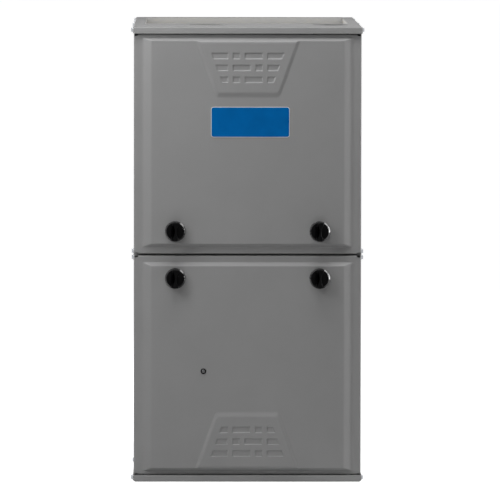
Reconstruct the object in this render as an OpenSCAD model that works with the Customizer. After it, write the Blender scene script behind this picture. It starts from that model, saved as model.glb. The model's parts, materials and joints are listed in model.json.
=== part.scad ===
// Forced air gas furnace, condensing upflow type, in a 17.5 in by 35 in cabinet.
// Millimetres. +X is right, the doors face -Y, +Z is up.
// The origin is on the floor, under the middle of the whole object.

/* [Cabinet] */
// Width over the casing's two sides
casing_w = 444.5; // [440:0.5:520]
// Depth of the casing, from its front flanges to its back
casing_d = 724; // [720:1:800]
// Height from the floor to the top plate
cabinet_h = 889; // [880:1:920]
// Thickness of the steel sheet
sheet_t = 1; // [0.8:0.1:1.4]
// Width of the casing's inturned front flanges
flange_w = 20; // [14:1:26]
// Height of the lips and skirts of the top plate and the base tray
lip_h = 13; // [10:1:18]
// How far both lips stand in front of the casing
lip_out = 21; // [18:1:23]
// Gap between the casing and the skirts round it
skirt_fit = 0.3; // [0.1:0.1:0.8]
// Trimmed corner at each end of the base tray's lip
tray_corner = 4; // [2:1:6]
// Width of the turned-in top edge of the base tray's lip
tray_hem = 5; // [3:1:8]

/* [Air openings] */
// Width of the top plate left at each side of the supply air opening
supply_side = 20.75; // [20:0.25:40]
// Depth of the top plate left before and behind the supply opening
supply_end = 21.5; // [20:0.5:60]
// Depth of the flanges turned down round the supply opening
supply_flange = 15; // [10:1:25]
// Width of the base tray left at each side of the return air opening
return_side = 19.25; // [19:0.25:40]
// Depth of the casing left in front of the return openings
return_front = 110; // [100:1:160]
// Depth of the base tray left behind the return opening
return_rear = 65; // [60:1:120]
// How far the closure panel laps over the return opening's edge
closure_lap = 7; // [5:1:7]
// Depth of each side left behind its pressed return air outline
side_return_rear = 54; // [50:1:120]
// Height of the return air outline pressed into each side
side_return_h = 368; // [300:1:370]
// Width of the line pressed round that outline
outline_w = 3; // [2:0.5:4]

/* [Doors] */
// Gap between the two doors
door_gap = 4; // [3:0.5:6]
// Gap between each door and its lip
door_fit = 1; // [0.6:0.1:2]
// Depth of a door's rim, from its back edge to the rim's face
rim_d = 12; // [10:1:14]
// Width of the flat rim beside the raised panel
rim_side = 14; // [10:1:18]
// Height of the flat rim at a door's outer end
rim_end = 7; // [5:1:10]
// Height of the flat rim at the gap between the doors
rim_gap = 12; // [9:1:14]
// Width of the slope from the rim to the raised panel at the sides
bevel_side = 21; // [15:1:26]
// Height of the same slope at the top and bottom
bevel_end = 9; // [7:1:12]
// How far the panel stands out from the rim
panel_rise = 9; // [7:1:11]
// How far the pressed trapezoid stands out from the panel
trapezoid_rise = 3; // [2:0.5:4]
// Width of the trapezoid at its wide end
trapezoid_wide = 204; // [190:1:210]
// Width of the trapezoid at its narrow end
trapezoid_narrow = 128; // [115:1:130]
// Height of the trapezoid
trapezoid_h = 105; // [100:1:112]
// Width of the slope round the trapezoid
trapezoid_slope = 12; // [8:1:13]
// Height of one pressed pocket
pocket_h = 11.8; // [9:0.2:14]
// Distance from one row of pockets to the next
pocket_pitch = 23.2; // [20:0.2:24]
// Length of a long pocket
pocket_long = 35; // [30:0.5:38]
// Length of a short pocket
pocket_short = 14.5; // [12:0.5:18]
// Gap between two pockets of a row
pocket_gap = 8.8; // [6:0.2:10]
// Depth of the pockets
pocket_depth = 1.4; // [0.8:0.1:2]
// Distance from the trapezoid's wide end to the middle of the first row of pockets
pocket_first = 30; // [26:0.5:34]
// Thickness of the soft seal between doors and casing
seal_t = 3; // [2:0.5:4]
// Width of the blank plate on the upper door
plate_w = 153; // [120:1:170]
// Height of the blank plate
plate_h = 59; // [40:1:70]
// Sideways place of the blank plate's middle
plate_side = 5; // [-10:1:10]
// Height of the blank plate's middle above the middle of its door
plate_rise = 43; // [30:0.5:60]
// Thickness of the blank plate
plate_t = 0.8; // [0.6:0.1:1.5]
// Diameter of the sight glass ring
sight_d = 11; // [9:0.5:14]

/* [Door knobs] */
// Diameter of a knob
knob_d = 40; // [34:1:44]
// How far a knob stands out from the door panel
knob_out = 22; // [18:1:26]
// Width of the knob's grip at its ends
grip_w = 16; // [12:1:20]
// Width of the grip at its waist
grip_waist = 8; // [6:1:10]
// Lean of the grip from upright at rest
grip_lean = 3; // [0:1:20]
// Diameter of the knob's shaft
knob_shaft_d = 8; // [6:0.5:9]
// Distance of each knob from the side edge of its door
knob_side = 80.25; // [75:0.25:90]
// Distance of each knob from the middle of the gap between the doors
knob_z = 46; // [44:1:52]
// Length of the tongue behind the mid rail
tongue_l = 22; // [18:1:24]
// Width of the tongue
tongue_w = 7; // [5:0.5:7.5]
// Radial running clearance of shafts in their bores
running_fit = 0.05; // [0.02:0.01:0.1]

/* [Compartments] */
// Height from the blower shelf up to the middle of the gap between the doors
shelf_drop = 4.5; // [0:0.5:10]
// Distance from the casing's front to the wall in front of the heat exchangers
vest_d = 196; // [194:1:204]
// Thickness of the insulation in the heat exchanger compartment
insulation_t = 8; // [5:1:9]

/* [Burners and gas] */
// Number of burners and heat exchanger tubes
burner_count = 3; // [2:1:3]
// Distance between burners
burner_pitch = 82; // [76:1:84]
// Height of the burners below the cabinet's top
burner_drop = 144; // [140:1:150]
// Outside diameter of the half inch gas pipe
gas_pipe_d = 21.3; // [20:0.1:22]
// Diameter of the gas valve's threaded inlet
gas_inlet_d = 20.6; // [19:0.1:21]
// Depth of the gas valve's inlet
gas_inlet_depth = 16; // [12:1:20]
// Travel of the gas valve's switch
gas_switch_travel = 8; // [5:1:9]
// Travel of the rollout switches' reset buttons
reset_travel = 1.5; // [1:0.1:2]

/* [Heat exchangers] */
// Outside diameter of the primary tubes
hx_tube_d = 44; // [38:1:46]
// Wall of the primary tubes
hx_wall = 1.2; // [0.8:0.1:2]
// Height left between the primary tubes and the condensing coil
hx_gap = 24; // [20:1:30]
// Diameter of the condensing coil's tubes
coil_tube_d = 12.7; // [10:0.1:14]
// Number of coil tubes side by side
coil_columns = 8; // [5:1:8]
// Number of coil tubes one above the other
coil_rows = 3; // [2:1:3]
// Sideways distance between coil tubes
coil_pitch_x = 28; // [24:1:29]
// Upright distance between coil tubes
coil_pitch_z = 22; // [20:1:24]
// Number of fins shown on the coil
fin_count = 20; // [10:1:30]
// Thickness of a fin
fin_t = 0.6; // [0.4:0.1:1]

/* [Venting] */
// Outside diameter of the two inch vent and air pipes
vent_pipe_d = 60.3; // [58:0.1:62]
// Inside diameter of the vent coupling and the air collar
vent_bore_d = 60.5; // [60.4:0.1:63]
// Diameter of the two pipe holes in the top plate
vent_hole_d = 74; // [72:1:78]
// Wall of the inner vent pipe
vent_wall = 3.9; // [3:0.1:4.5]
// Height of the vent coupling's socket for the outer pipe
socket_h = 30; // [25:1:36]
// Radius of the inducer's wheel
inducer_wheel_r = 54; // [45:1:56]
// Width of the inducer's wheel
inducer_wheel_w = 28; // [20:1:32]

/* [Blower] */
// Radius of the blower wheel
blower_r = 139; // [120:1:141]
// Width of the blower wheel
blower_w = 203; // [180:1:206]
// Number of blades round each half of the blower wheel
blade_count = 36; // [24:1:44]
// Diameter of the blower shaft
blower_shaft_d = 12.7; // [10:0.1:14]
// Radius of the blower motor
motor_r = 70; // [60:1:75]

/* [Side holes] */
// Diameter of the gas and drain holes in the sides
side_hole_d = 44.5; // [40:0.5:50]
// Diameter of the wiring hole
wiring_hole_d = 22.2; // [20:0.1:24]
// Diameter of the condensate outlet
drain_d = 16; // [14:0.5:20]

/* [Hidden] */
$fn = 48;
eps = 0.01;
cut = 2;

// Front to back places. front_y is the face of the casing's front flanges.
door_d = seal_t + rim_d + panel_rise;
front_y = (door_d + knob_out - casing_d - skirt_fit - sheet_t) / 2;
back_y = front_y + casing_d;
rim_y = front_y - seal_t - rim_d;
panel_y = rim_y - panel_rise;
vest_y = front_y + vest_d;
inner_x = casing_w / 2 - sheet_t;
skirt_x = casing_w / 2 + skirt_fit;
supply_w = casing_w - 2 * supply_side;
supply_y = vest_y + sheet_t + supply_end;
supply_d = back_y - sheet_t - supply_end - supply_y;
return_w = casing_w - 2 * return_side;
return_y = front_y + return_front;
return_d = casing_d - return_front - return_rear;
side_return_d = casing_d - return_front - side_return_rear;

// Doors
door_w = casing_w - 2 * sheet_t;
door_h = (cabinet_h - 2 * lip_h - 2 * door_fit - door_gap) / 2;
gap_z = cabinet_h / 2;
door_mid = (door_gap + door_h) / 2;
panel_w = door_w - 2 * rim_side;
panel_h = door_h - rim_end - rim_gap;
panel_mid = (rim_gap - rim_end) / 2;
trapezoid_top = door_h / 2 - rim_end - bevel_end / 2;
trapezoid_lean = (trapezoid_wide - trapezoid_narrow) / 2 / trapezoid_h;
pocket_side = 8;
pocket_margin = trapezoid_slope + pocket_side;
pocket_core = (pocket_long + pocket_short + pocket_gap) / 2;
pocket_rows = 3;
relief_w = 8;
relief_h = 1.5;
knob_x = door_w / 2 - knob_side;
knob_bore_r = knob_shaft_d / 2 + running_fit;
door_return = 9;
plate_corner = 5;
sight_x = -86;
sight_z = 217;
sight_r = sight_d / 2;
sight_lens_r = sight_r - 2;
striker_x = 50;
striker_y = front_y - 2;
striker_half = 10;
striker_drop = 8;

// Mid rail and knobs
rail_edge = 9;
rail_half = knob_z + tongue_l / 2 + rail_edge;
striker_gap = 28.5;
striker_z = gap_z - rail_half - striker_gap;
rail_return = 12;
rail_y = front_y + sheet_t;
rail_gap = 0.4;
tongue_t = 2.5;
tongue_y = rail_y + sheet_t + rail_gap;
tongue_clear = 1.5;
skirt_t = 6;
knob_sink = 0.3;

// Vestibule
shelf_z = gap_z - shelf_drop;
vest_floor = shelf_z + sheet_t;
vest_top = cabinet_h - sheet_t;
burner_z = cabinet_h - burner_drop;
box_wall = 1.2;
box_half_w = (burner_count - 1) * burner_pitch / 2 + 48;
box_front = vest_y - 94;
box_low = burner_z - 45;
box_high = burner_z + 45;
gas_y = front_y + 75;
gas_valve_x = -inner_x + 21.25;
gas_valve_w = 88;
gas_boss = 8;
gas_valve_half = 30;
switch_side = 44;
switch_tab = 10;
switch_play = 0.5;
switch_slot = switch_tab + gas_switch_travel + 2 * switch_play;
switch_low = 6;
switch_high = 16;
orifice_r = 6;
flame_y = vest_y - 9;
sensor_r = 2;
rollout_x = [10, 70];
rollout_y = box_front + 50;
rollout_r = 9.5;
rollout_h = 8;
reset_r = 3;
reset_h = 4;
limit_x = -inner_x + 56.25;
limit_z = burner_z - 95;

// Heat exchangers
hx_r = hx_tube_d / 2;
coupling_d = 60;
coupling_rear = 24;
coupling_y = back_y - coupling_rear - coupling_d;
hx_back = coupling_y - 50;
hx_front = vest_y + 80;
coupling_half = (burner_count - 1) * burner_pitch / 2 + hx_r + 22;
coil_r = coil_tube_d / 2;
coil_z = shelf_z + 32;
coil_half = (coil_columns - 1) * coil_pitch_x / 2 + 20;
coil_low = coil_z - 14;
coil_high = coil_z + (coil_rows - 1) * coil_pitch_z + 13;
coil_plate_t = 2;
coil_fit = 0.1;
coil_lip = 8;
coil_sill = 5;
hx_pass = (burner_z - hx_r - hx_gap - coil_high) / 2;
hx_low = burner_z - 2 * hx_pass;

// Venting and inducer
vent_x = inner_x - 56.25;
air_x = 2 - burner_pitch;
collector_d = 28;
collector_right = inner_x - 39.25;
inducer_rise = 90;
collector_rise = 128;
collector_high = shelf_z + collector_rise;
inducer_d = 50;
inducer_wall = 2;
inducer_y = vest_y - collector_d - inducer_d;
inducer_room = 6;
inducer_in_r = inducer_wheel_r + inducer_room;
inducer_out_r = 85;
inducer_neck = 95;
inducer_throat_r = 30;
inducer_offset = inducer_out_r - inducer_throat_r;
inducer_x = vent_x - inducer_offset;
inducer_z = shelf_z + inducer_rise;
inducer_port_r = 28;
inducer_shaft_r = 4;
inducer_motor_r = 42;
inducer_motor_d = 48;
inducer_motor_y = inducer_y - inducer_motor_d;
inducer_fan_d = 8;
vent_y = inducer_y + inducer_d / 2;
air_y = box_front + 47;
collar_wall = 3;
neck_z = inducer_z + inducer_neck;
neck_h = 28;
coupling_top = cabinet_h - 6;
coupling_stop = 4;
coupling_h = 2 * socket_h + coupling_stop;
coupling_wall = 5;
pipe_top = coupling_top - coupling_h + socket_h - 0.5;
air_top = cabinet_h - 6;
vent_bore_r = vent_bore_d / 2;
vent_pipe_r = vent_pipe_d / 2;
switch_x = -50;
switch_r = 36;
switch_z = box_low - switch_r - 12;
switch_d = 26;
switch_mount = 6;
port_l = 10;
port_x = 14;
port_drop = 12;
tap_r = 3;
tube_r = 4;

// Condensate
trap_x = -inner_x + 15.25;
trap_w = 66;
collector_left = trap_x + trap_w + 15;
trap_d = 60;
trap_y = vest_y - trap_d - 6;
trap_low = shelf_z + 12;
trap_h = 138;
trap_high = trap_low + trap_h;
drain_y = trap_y + trap_d / 2;
drain_z = shelf_z + 34;
drain_stub = 14;
hose_r = 6;
collector_drain = [collector_left + 18, vest_y - collector_d - 10, coil_low + 16];
trap_inlet = [trap_x + 44, trap_y - 10, trap_low + 16];

// Blower
blower_set = 350;
blower_y = front_y + blower_set;
blower_z = 205;
scroll_room = 11;
scroll_growth = 65;
scroll_side = 16;
scroll_small = blower_r + scroll_room;
scroll_big = scroll_small + scroll_growth;
scroll_up = shelf_z - blower_z;
scroll_half = blower_w / 2 + scroll_side;
scroll_steps = 30;
inlet_r = 118;
inlet_lip = 8;
shaft_r = blower_shaft_d / 2;
shaft_in = 60;
shaft_end = 12;
motor_boss_r = 20;
motor_boss_l = 3;
plug_half = 9;
blade_l = 18;
blade_in = blower_r - blade_l - 2;
blade_t = 0.9;
blade_turn = 9;
hub_r = 16;
hub_half = 20;
motor_end = -24;
motor_l = 126;
module_r = motor_r - 8;
module_l = 40;
band_x = -130;
band_w = 20;
band_t = 1.5;
arm_r = inlet_r + 14;
arm_t = 3;
flange_drop = 6;
flange_z = shelf_z - flange_drop;
flange_reach = 18;
plug_rise = 10;
plug_x = motor_end - motor_l - module_l / 2;
plug_z = blower_z + module_r + plug_rise;

// Control box and wiring
control_x = -inner_x + 41.25;
control_w = 200;
led_rise = 29;
control_low = sight_z - led_rise;
control_set = 78;
control_y = front_y + control_set;
control_d = 72;
board_side = 20;
board_x = control_x + board_side;
board_w = 150;
board_h = 140;
board_t = 1.6;
led_r = 2.5;
switch_body_y = front_y + 12;
switch_body_d = 36;
plunger_r = 4;
plunger_in = 20;
junction_w = 46;
junction_d = 62;
junction_h = 80;
junction_y = front_y + 10;
junction_z = 290;
wiring_y = junction_y + junction_d / 2;
wiring_z = junction_z + junction_h / 2;
grommet_x = -40;
grommet_y = front_y + 100;
grommet_r = 14;
screw_head = 4;
screw_r = 4.2;
loom_x = gas_valve_x + 45;

// Silicone tubes from the pressure switch to the inducer and the collector box
pressure_port_y = vest_y - switch_mount - switch_d - port_l;
inducer_tap = [inducer_x - 54, inducer_y - 8, inducer_z - 34];
collector_tap = [collector_left + 30, vest_y - collector_d - 8, collector_high - 14];
inducer_tube_route = [
    [switch_x + port_x, pressure_port_y, switch_z - port_drop],
    [switch_x + port_x, pressure_port_y - 22, switch_z - port_drop],
    [switch_x + 20, pressure_port_y - 50, switch_z - 40],
    [switch_x + 45, inducer_tap[1] - 45, inducer_tap[2] + 40],
    [inducer_tap[0], inducer_tap[1] - 30, inducer_tap[2]],
    inducer_tap
];
collector_tube_route = [
    [switch_x - port_x, pressure_port_y, switch_z - port_drop],
    [switch_x - port_x, pressure_port_y - 20, switch_z - port_drop],
    [switch_x - 30, pressure_port_y - 30, switch_z - 30],
    [collector_tap[0], collector_tap[1] - 26, collector_tap[2]],
    collector_tap
];

// Rubber hose from the collector box round to the trap's inlet
drain_hose_route = [
    collector_drain,
    [collector_drain[0], collector_drain[1] - 24, collector_drain[2]],
    [collector_drain[0] - 12, trap_inlet[1] - 34, trap_inlet[2] + 4],
    [trap_inlet[0] + 8, trap_inlet[1] - 36, trap_inlet[2]],
    [trap_inlet[0], trap_inlet[1] - 22, trap_inlet[2]],
    trap_inlet
];

// Low-voltage loom up through the shelf to the gas valve, and the motor lead to the blower
loom_route = [
    [grommet_x, grommet_y, shelf_z - 60],
    [grommet_x, grommet_y, shelf_z + 30],
    [grommet_x - 20, front_y + 60, shelf_z + 80],
    [loom_x + 25, front_y + 45, shelf_z + 150],
    [loom_x, gas_y - 5, burner_z - 90],
    [loom_x, gas_y - 5, burner_z - gas_valve_half]
];
motor_route = [
    [control_x + 12, control_y + control_d, shelf_z - 60],
    [control_x + 12, control_y + control_d + 40, shelf_z - 60],
    [plug_x, blower_y - 60, shelf_z - 75],
    [plug_x, blower_y, plug_z + 60],
    [plug_x, blower_y, plug_z]
];

// A box from one corner to the other
module block(low, high) {
    translate(low) cube(high - low);
}

// A straight cylinder along Y from y1 to y2
module rod_y(x, y1, z, y2, r) {
    translate([x, y1, z]) rotate([-90, 0, 0]) cylinder(h = y2 - y1, r = r);
}

// A straight cylinder along X from x1 to x2
module rod_x(x1, y, z, x2, r) {
    translate([x1, y, z]) rotate([0, 90, 0]) cylinder(h = x2 - x1, r = r);
}

// A profile drawn in the X-Z plane, extruded from y1 back to y2
module plate_y(y1, y2) {
    translate([0, y2, 0]) rotate([90, 0, 0]) linear_extrude(height = y2 - y1) children();
}

// A profile drawn as (y, z), extruded along X from x1 to x2
module plate_x(x1, x2) {
    translate([x1, 0, 0]) rotate([90, 0, 90]) linear_extrude(height = x2 - x1) children();
}

// Spiral outline of a fan housing. It widens from small at the angle start to big at 360 degrees,
// then runs straight up to the neck's end.
function scroll_points(small, big, start, up, grow) = concat(
    [[small * cos(start) - grow, (small + grow) * sin(start)]],
    [for (i = [1 : scroll_steps])
        let (a = start + (360 - start) * i / scroll_steps)
        (small + (big - small) * i / scroll_steps + grow) * [cos(a), sin(a)]],
    [[big + grow, up], [small * cos(start) - grow, up]]
);

// Corner cutting, which rounds a route
function rounded(p) = concat(
    [p[0]],
    [for (i = [0 : len(p) - 2]) each [p[i] * 0.7 + p[i + 1] * 0.3, p[i] * 0.3 + p[i + 1] * 0.7]],
    [p[len(p) - 1]]
);

function unit(v) = v / norm(v);

// A ring of points round a route's point, square to the route there
function ring(p, i, r, sides, side_way) =
    let (
        t = unit(p[min(i + 1, len(p) - 1)] - p[max(i - 1, 0)]),
        a = unit(cross(t, side_way)),
        b = cross(t, a)
    )
    [for (k = [0 : sides - 1]) p[i] + r * (a * cos(360 * k / sides) + b * sin(360 * k / sides))];

// A flexible tube or lead along a route. side_way is a direction the route never takes.
module flexible(route, r, side_way, sides = 8) {
    p = rounded(rounded(route));
    n = len(p);
    points = [for (i = [0 : n - 1]) each ring(p, i, r, sides, side_way)];
    skin = [
        for (i = [0 : n - 2], k = [0 : sides - 1])
            let (a = i * sides + k, b = i * sides + (k + 1) % sides)
            each [[a, b, b + sides], [a, b + sides, a + sides]]
    ];
    polyhedron(
        points,
        concat(
            [[for (k = [sides - 1 : -1 : 0]) k]],
            skin,
            [[for (k = [0 : sides - 1]) (n - 1) * sides + k]]
        ),
        convexity = 10
    );
}

// ---------- cabinet ----------

// The round holes through a side wall: gas, condensate and, on the left, the wiring
module side_holes(side) {
    x = side < 0 ? -casing_w / 2 - cut : inner_x - cut;
    rod_x(x, gas_y, burner_z, x + 2 * cut + sheet_t, side_hole_d / 2);
    rod_x(x, drain_y, drain_z, x + 2 * cut + sheet_t, side_hole_d / 2);
    if (side < 0) rod_x(x, wiring_y, wiring_z, x + 2 * cut + sheet_t, wiring_hole_d / 2);
}

// A shallow line pressed round a side return opening
module return_outline(side) {
    line_d = sheet_t * 0.4;
    low_z = 30;
    x1 = side < 0 ? -casing_w / 2 - cut : casing_w / 2 - line_d;
    plate_x(x1, x1 + cut + line_d) difference() {
        translate([return_y, low_z]) square([side_return_d, side_return_h]);
        translate([return_y + outline_w, low_z + outline_w])
            square([side_return_d - 2 * outline_w, side_return_h - 2 * outline_w]);
    }
}

module casing_wrapper() {
    color("gray") difference() {
        block([-casing_w / 2, front_y, sheet_t], [casing_w / 2, back_y, vest_top]);
        block([-inner_x, front_y + sheet_t, 0], [inner_x, back_y - sheet_t, cabinet_h]);
        block([-casing_w / 2 + flange_w, front_y - cut, 0],
            [casing_w / 2 - flange_w, front_y + sheet_t + cut, cabinet_h]);
        for (side = [-1, 1]) {
            side_holes(side);
            return_outline(side);
        }
    }
}

// An open lid: a flat sheet with skirts that reach over the casing
module skirted_sheet() {
    difference() {
        block([-skirt_x - sheet_t, front_y - lip_out, 0],
            [skirt_x + sheet_t, back_y + skirt_fit + sheet_t, lip_h]);
        block([-skirt_x, front_y - lip_out + sheet_t, -cut],
            [skirt_x, back_y + skirt_fit, lip_h - sheet_t]);
    }
}

module top_plate() {
    color("gray") difference() {
        union() {
            translate([0, 0, cabinet_h - lip_h]) skirted_sheet();
            block([-supply_w / 2 - sheet_t, supply_y - sheet_t, cabinet_h - supply_flange],
                [supply_w / 2 + sheet_t, supply_y + supply_d + sheet_t, cabinet_h - sheet_t]);
        }
        block([-supply_w / 2, supply_y, cabinet_h - supply_flange - cut],
            [supply_w / 2, supply_y + supply_d, cabinet_h + cut]);
        translate([vent_x, vent_y, cabinet_h - lip_h]) cylinder(h = lip_h + cut, r = vent_hole_d / 2);
        translate([air_x, air_y, cabinet_h - lip_h]) cylinder(h = lip_h + cut, r = vent_hole_d / 2);
    }
}

module base_tray() {
    color("gray") difference() {
        union() {
            mirror([0, 0, 1]) translate([0, 0, -lip_h]) skirted_sheet();
            block([-skirt_x, front_y - lip_out + sheet_t, lip_h - sheet_t],
                [skirt_x, front_y - lip_out + sheet_t + tray_hem, lip_h]);
        }
        block([-return_w / 2, return_y, -cut], [return_w / 2, return_y + return_d, sheet_t + cut]);
        for (side = [-1, 1]) translate([side * (skirt_x + sheet_t), front_y - lip_out - cut, 0])
            rotate([-90, 45, 0]) translate([-tray_corner, -tray_corner, 0] / sqrt(2))
                cube([tray_corner * sqrt(2), tray_corner * sqrt(2), lip_out - sheet_t]);
    }
}

module bottom_closure() {
    lap_x = return_w / 2 + closure_lap;
    low_y = return_y - closure_lap;
    high_y = return_y + return_d + closure_lap;
    handle_h = 18;
    bead = 1;
    bead_half = 6;
    bead_side = return_w / 2 - 40;
    beads = 3;
    color("lightgray") union() {
        block([-lap_x, low_y, sheet_t], [lap_x, high_y, 2 * sheet_t]);
        block([-lap_x, low_y, 2 * sheet_t], [lap_x, low_y + sheet_t, handle_h]);
        for (i = [1 : beads]) {
            y = return_y + return_d * i / (beads + 1);
            block([-bead_side, y - bead_half, 2 * sheet_t], [bead_side, y + bead_half, 2 * sheet_t + bead]);
        }
    }
}

module blower_shelf() {
    flange_d = 18;
    flange_end = 10;
    runner_w = 15;
    runner_t = 2;
    runner_gap = 6;
    low_y = rail_y + sheet_t + rail_return;
    runner_x = scroll_half + sheet_t + flange_reach + 1;
    color("lightgray") difference() {
        union() {
            block([-inner_x, low_y, shelf_z], [inner_x, back_y - sheet_t, shelf_z + sheet_t]);
            for (side = [-1, 1]) {
                x = side * (inner_x - sheet_t / 2);
                block([x - sheet_t / 2, low_y + flange_end, shelf_z - flange_d],
                    [x + sheet_t / 2, back_y - sheet_t - flange_end, shelf_z]);
                // Runner that the blower's flange slides on
                y1 = blower_y - 60;
                y2 = blower_y + scroll_big + 10;
                w = side * runner_x;
                foot = flange_z - runner_gap;
                block([w - runner_t / 2, y1, foot], [w + runner_t / 2, y2, shelf_z]);
                block([min(w, w - side * runner_w), y1, foot],
                    [max(w, w - side * runner_w), y2, foot + runner_t]);
            }
        }
        block([-scroll_half, blower_y, shelf_z - cut],
            [scroll_half, blower_y + scroll_big, shelf_z + cut]);
        translate([grommet_x, grommet_y, shelf_z - cut]) cylinder(h = 3 * cut, r = grommet_r);
    }
}

module mid_rail() {
    slot_w = knob_shaft_d + 2;
    slot_h = tongue_l + 2 * tongue_clear;
    color("dimgray") difference() {
        block([-inner_x, rail_y, gap_z - rail_half],
            [inner_x, rail_y + sheet_t + rail_return, gap_z + rail_half]);
        block([-inner_x - cut, rail_y + sheet_t, gap_z - rail_half + sheet_t],
            [inner_x + cut, rail_y + sheet_t + rail_return + cut, gap_z + rail_half - sheet_t]);
        for (x = [-knob_x, knob_x], z = [-knob_z, knob_z])
            block([x - slot_w / 2, rail_y - cut, gap_z + z - slot_h / 2],
                [x + slot_w / 2, rail_y + sheet_t + cut, gap_z + z + slot_h / 2]);
    }
}

module vest_panel() {
    color("silver") difference() {
        block([-inner_x, vest_y, vest_floor], [inner_x, vest_y + sheet_t, vest_top]);
        for (i = [0 : burner_count - 1])
            rod_y(burner_x(i), vest_y - cut, burner_z, vest_y + 2 * cut, hx_r - hx_wall);
        block([-coil_half + coil_lip, vest_y - cut, coil_low + coil_sill],
            [coil_half - coil_lip, vest_y + 2 * cut, coil_high - coil_sill]);
        rod_y(limit_x, vest_y - cut, limit_z, vest_y + 2 * cut, 12);
    }
}

module casing_insulation() {
    low_z = vest_floor;
    high_z = cabinet_h - supply_flange - 2;
    low_y = vest_y + sheet_t;
    color("khaki") difference() {
        block([-inner_x, low_y, low_z], [inner_x, back_y - sheet_t, high_z]);
        block([-inner_x + insulation_t, low_y - cut, low_z - cut],
            [inner_x - insulation_t, back_y - sheet_t - insulation_t, high_z + cut]);
    }
}

module door_seal() {
    seal_w = door_return;
    outer_x = door_w / 2 - sheet_t;
    low = [lip_h + door_fit + sheet_t, gap_z + door_gap / 2 + sheet_t];
    high_z = door_h - 2 * sheet_t;
    color("darkslategray") for (z = low) difference() {
        block([-outer_x, front_y - seal_t, z], [outer_x, front_y, z + high_z]);
        block([-outer_x + seal_w, front_y - seal_t - cut, z + seal_w],
            [outer_x - seal_w, front_y + cut, z + high_z - seal_w]);
    }
}

// One hexagon-headed screw with its washer, lying along X, its washer on the plane x
module side_screw(side, x, y, z) {
    translate([side * x, y, z]) rotate([0, side * 90, 0]) {
        cylinder(h = 1, r = screw_r + 1.3);
        translate([0, 0, 1 - eps]) cylinder(h = screw_head - 1 + eps, r = screw_r, $fn = 6);
    }
}

module cabinet_screws() {
    pair_half = 6;
    skirt_face = skirt_x + sheet_t;
    color("silver") for (side = [-1, 1]) {
        for (y = [front_y + 8, front_y + casing_d / 2, back_y - 20]) {
            side_screw(side, skirt_face, y, cabinet_h - lip_h / 2);
            side_screw(side, skirt_face, y, lip_h / 2);
        }
        for (z = [gap_z - pair_half, gap_z + pair_half])
            side_screw(side, casing_w / 2, front_y + 8, z);
    }
}

// Domed plugs that close the unused holes of the right side
module knockout_plugs() {
    plug_r = side_hole_d / 2;
    x = inner_x - 1;
    color("gray") for (spot = [[gas_y, burner_z], [drain_y, drain_z]]) union() {
        rod_x(x, spot[0], spot[1], casing_w / 2, plug_r);
        rod_x(casing_w / 2, spot[0], spot[1], casing_w / 2 + 1.2, plug_r + 2.5);
    }
}

// ---------- burners and gas ----------

function burner_x(i) = (i - (burner_count - 1) / 2) * burner_pitch;

module burner_box() {
    color("silver") difference() {
        block([-box_half_w, box_front, box_low], [box_half_w, vest_y, box_high]);
        block([-box_half_w + box_wall, box_front + box_wall, box_low + box_wall],
            [box_half_w - box_wall, vest_y + cut, box_high - box_wall]);
        for (i = [0 : burner_count - 1])
            rod_y(burner_x(i), box_front - cut, burner_z, box_front + 2 * cut, orifice_r + 0.5);
        for (side = [-1, 1])
            rod_x(side * box_half_w - 3, flame_y, burner_z, side * box_half_w + 3, sensor_r + 1);
        translate([air_x, air_y, box_high - 5]) cylinder(h = 10, r = vent_bore_r);
    }
}

// One venturi burner: bell mouth in front, throat, flame holder at the back, with a carry-over wing
module burner(x) {
    front_gap = 26;
    rear_gap = 20;
    mouth_r = 17;
    mouth_l = 8;
    throat_r = 11;
    holder_r = 18;
    holder_l = 14;
    wing_h = 24;
    wing_t = 1.5;
    wing_half = burner_pitch / 2 - 1;
    wall = 1;
    low_y = box_front + front_gap;
    high_y = vest_y - rear_gap;
    l = high_y - low_y;
    throat_y = l * 0.4;
    inner = [
        [mouth_r, 0], [throat_r + 2, mouth_l], [throat_r, throat_y], [holder_r, l - holder_l], [holder_r, l]
    ];
    last = len(inner) - 1;
    translate([x, low_y, burner_z]) rotate([-90, 0, 0]) rotate_extrude()
        polygon(concat(inner, [for (i = [last : -1 : 0]) inner[i] + [wall, 0]]));
    difference() {
        block([x - wing_half, high_y, burner_z - wing_h],
            [x + wing_half, high_y + wing_t, burner_z + wing_h]);
        rod_y(x, high_y - cut, burner_z, high_y + 2 * cut, holder_r);
    }
}

module burners() {
    color("lightsteelblue") for (i = [0 : burner_count - 1]) burner(burner_x(i));
}

module gas_manifold() {
    pipe_wall = 2.8;
    orifice_l = 6;
    orifice_bore_r = 1.5;
    cap_l = 4;
    run_on = 22;
    bracket_half = 8;
    bracket_t = 2;
    foot_half = 18;
    pipe_r = gas_pipe_d / 2;
    start_x = gas_valve_x + gas_valve_w + gas_boss;
    end_x = burner_x(burner_count - 1) + run_on;
    tip_y = box_front + orifice_l;
    color("dimgray") difference() {
        union() {
            rod_x(start_x, gas_y, burner_z, end_x, pipe_r);
            for (i = [0 : burner_count - 1]) rod_y(burner_x(i), gas_y, burner_z, tip_y, orifice_r);
            for (side = [-1, 1]) {
                x = side * burner_pitch / 2;
                block([x - bracket_half, gas_y, burner_z - bracket_t],
                    [x + bracket_half, box_front, burner_z + bracket_t]);
                block([x - bracket_half, box_front - bracket_t, burner_z - foot_half],
                    [x + bracket_half, box_front, burner_z + foot_half]);
            }
        }
        rod_x(start_x - cut, gas_y, burner_z, end_x - cap_l, pipe_r - pipe_wall);
        for (i = [0 : burner_count - 1]) rod_y(burner_x(i), gas_y, burner_z, tip_y + cut, orifice_bore_r);
    }
}

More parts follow.
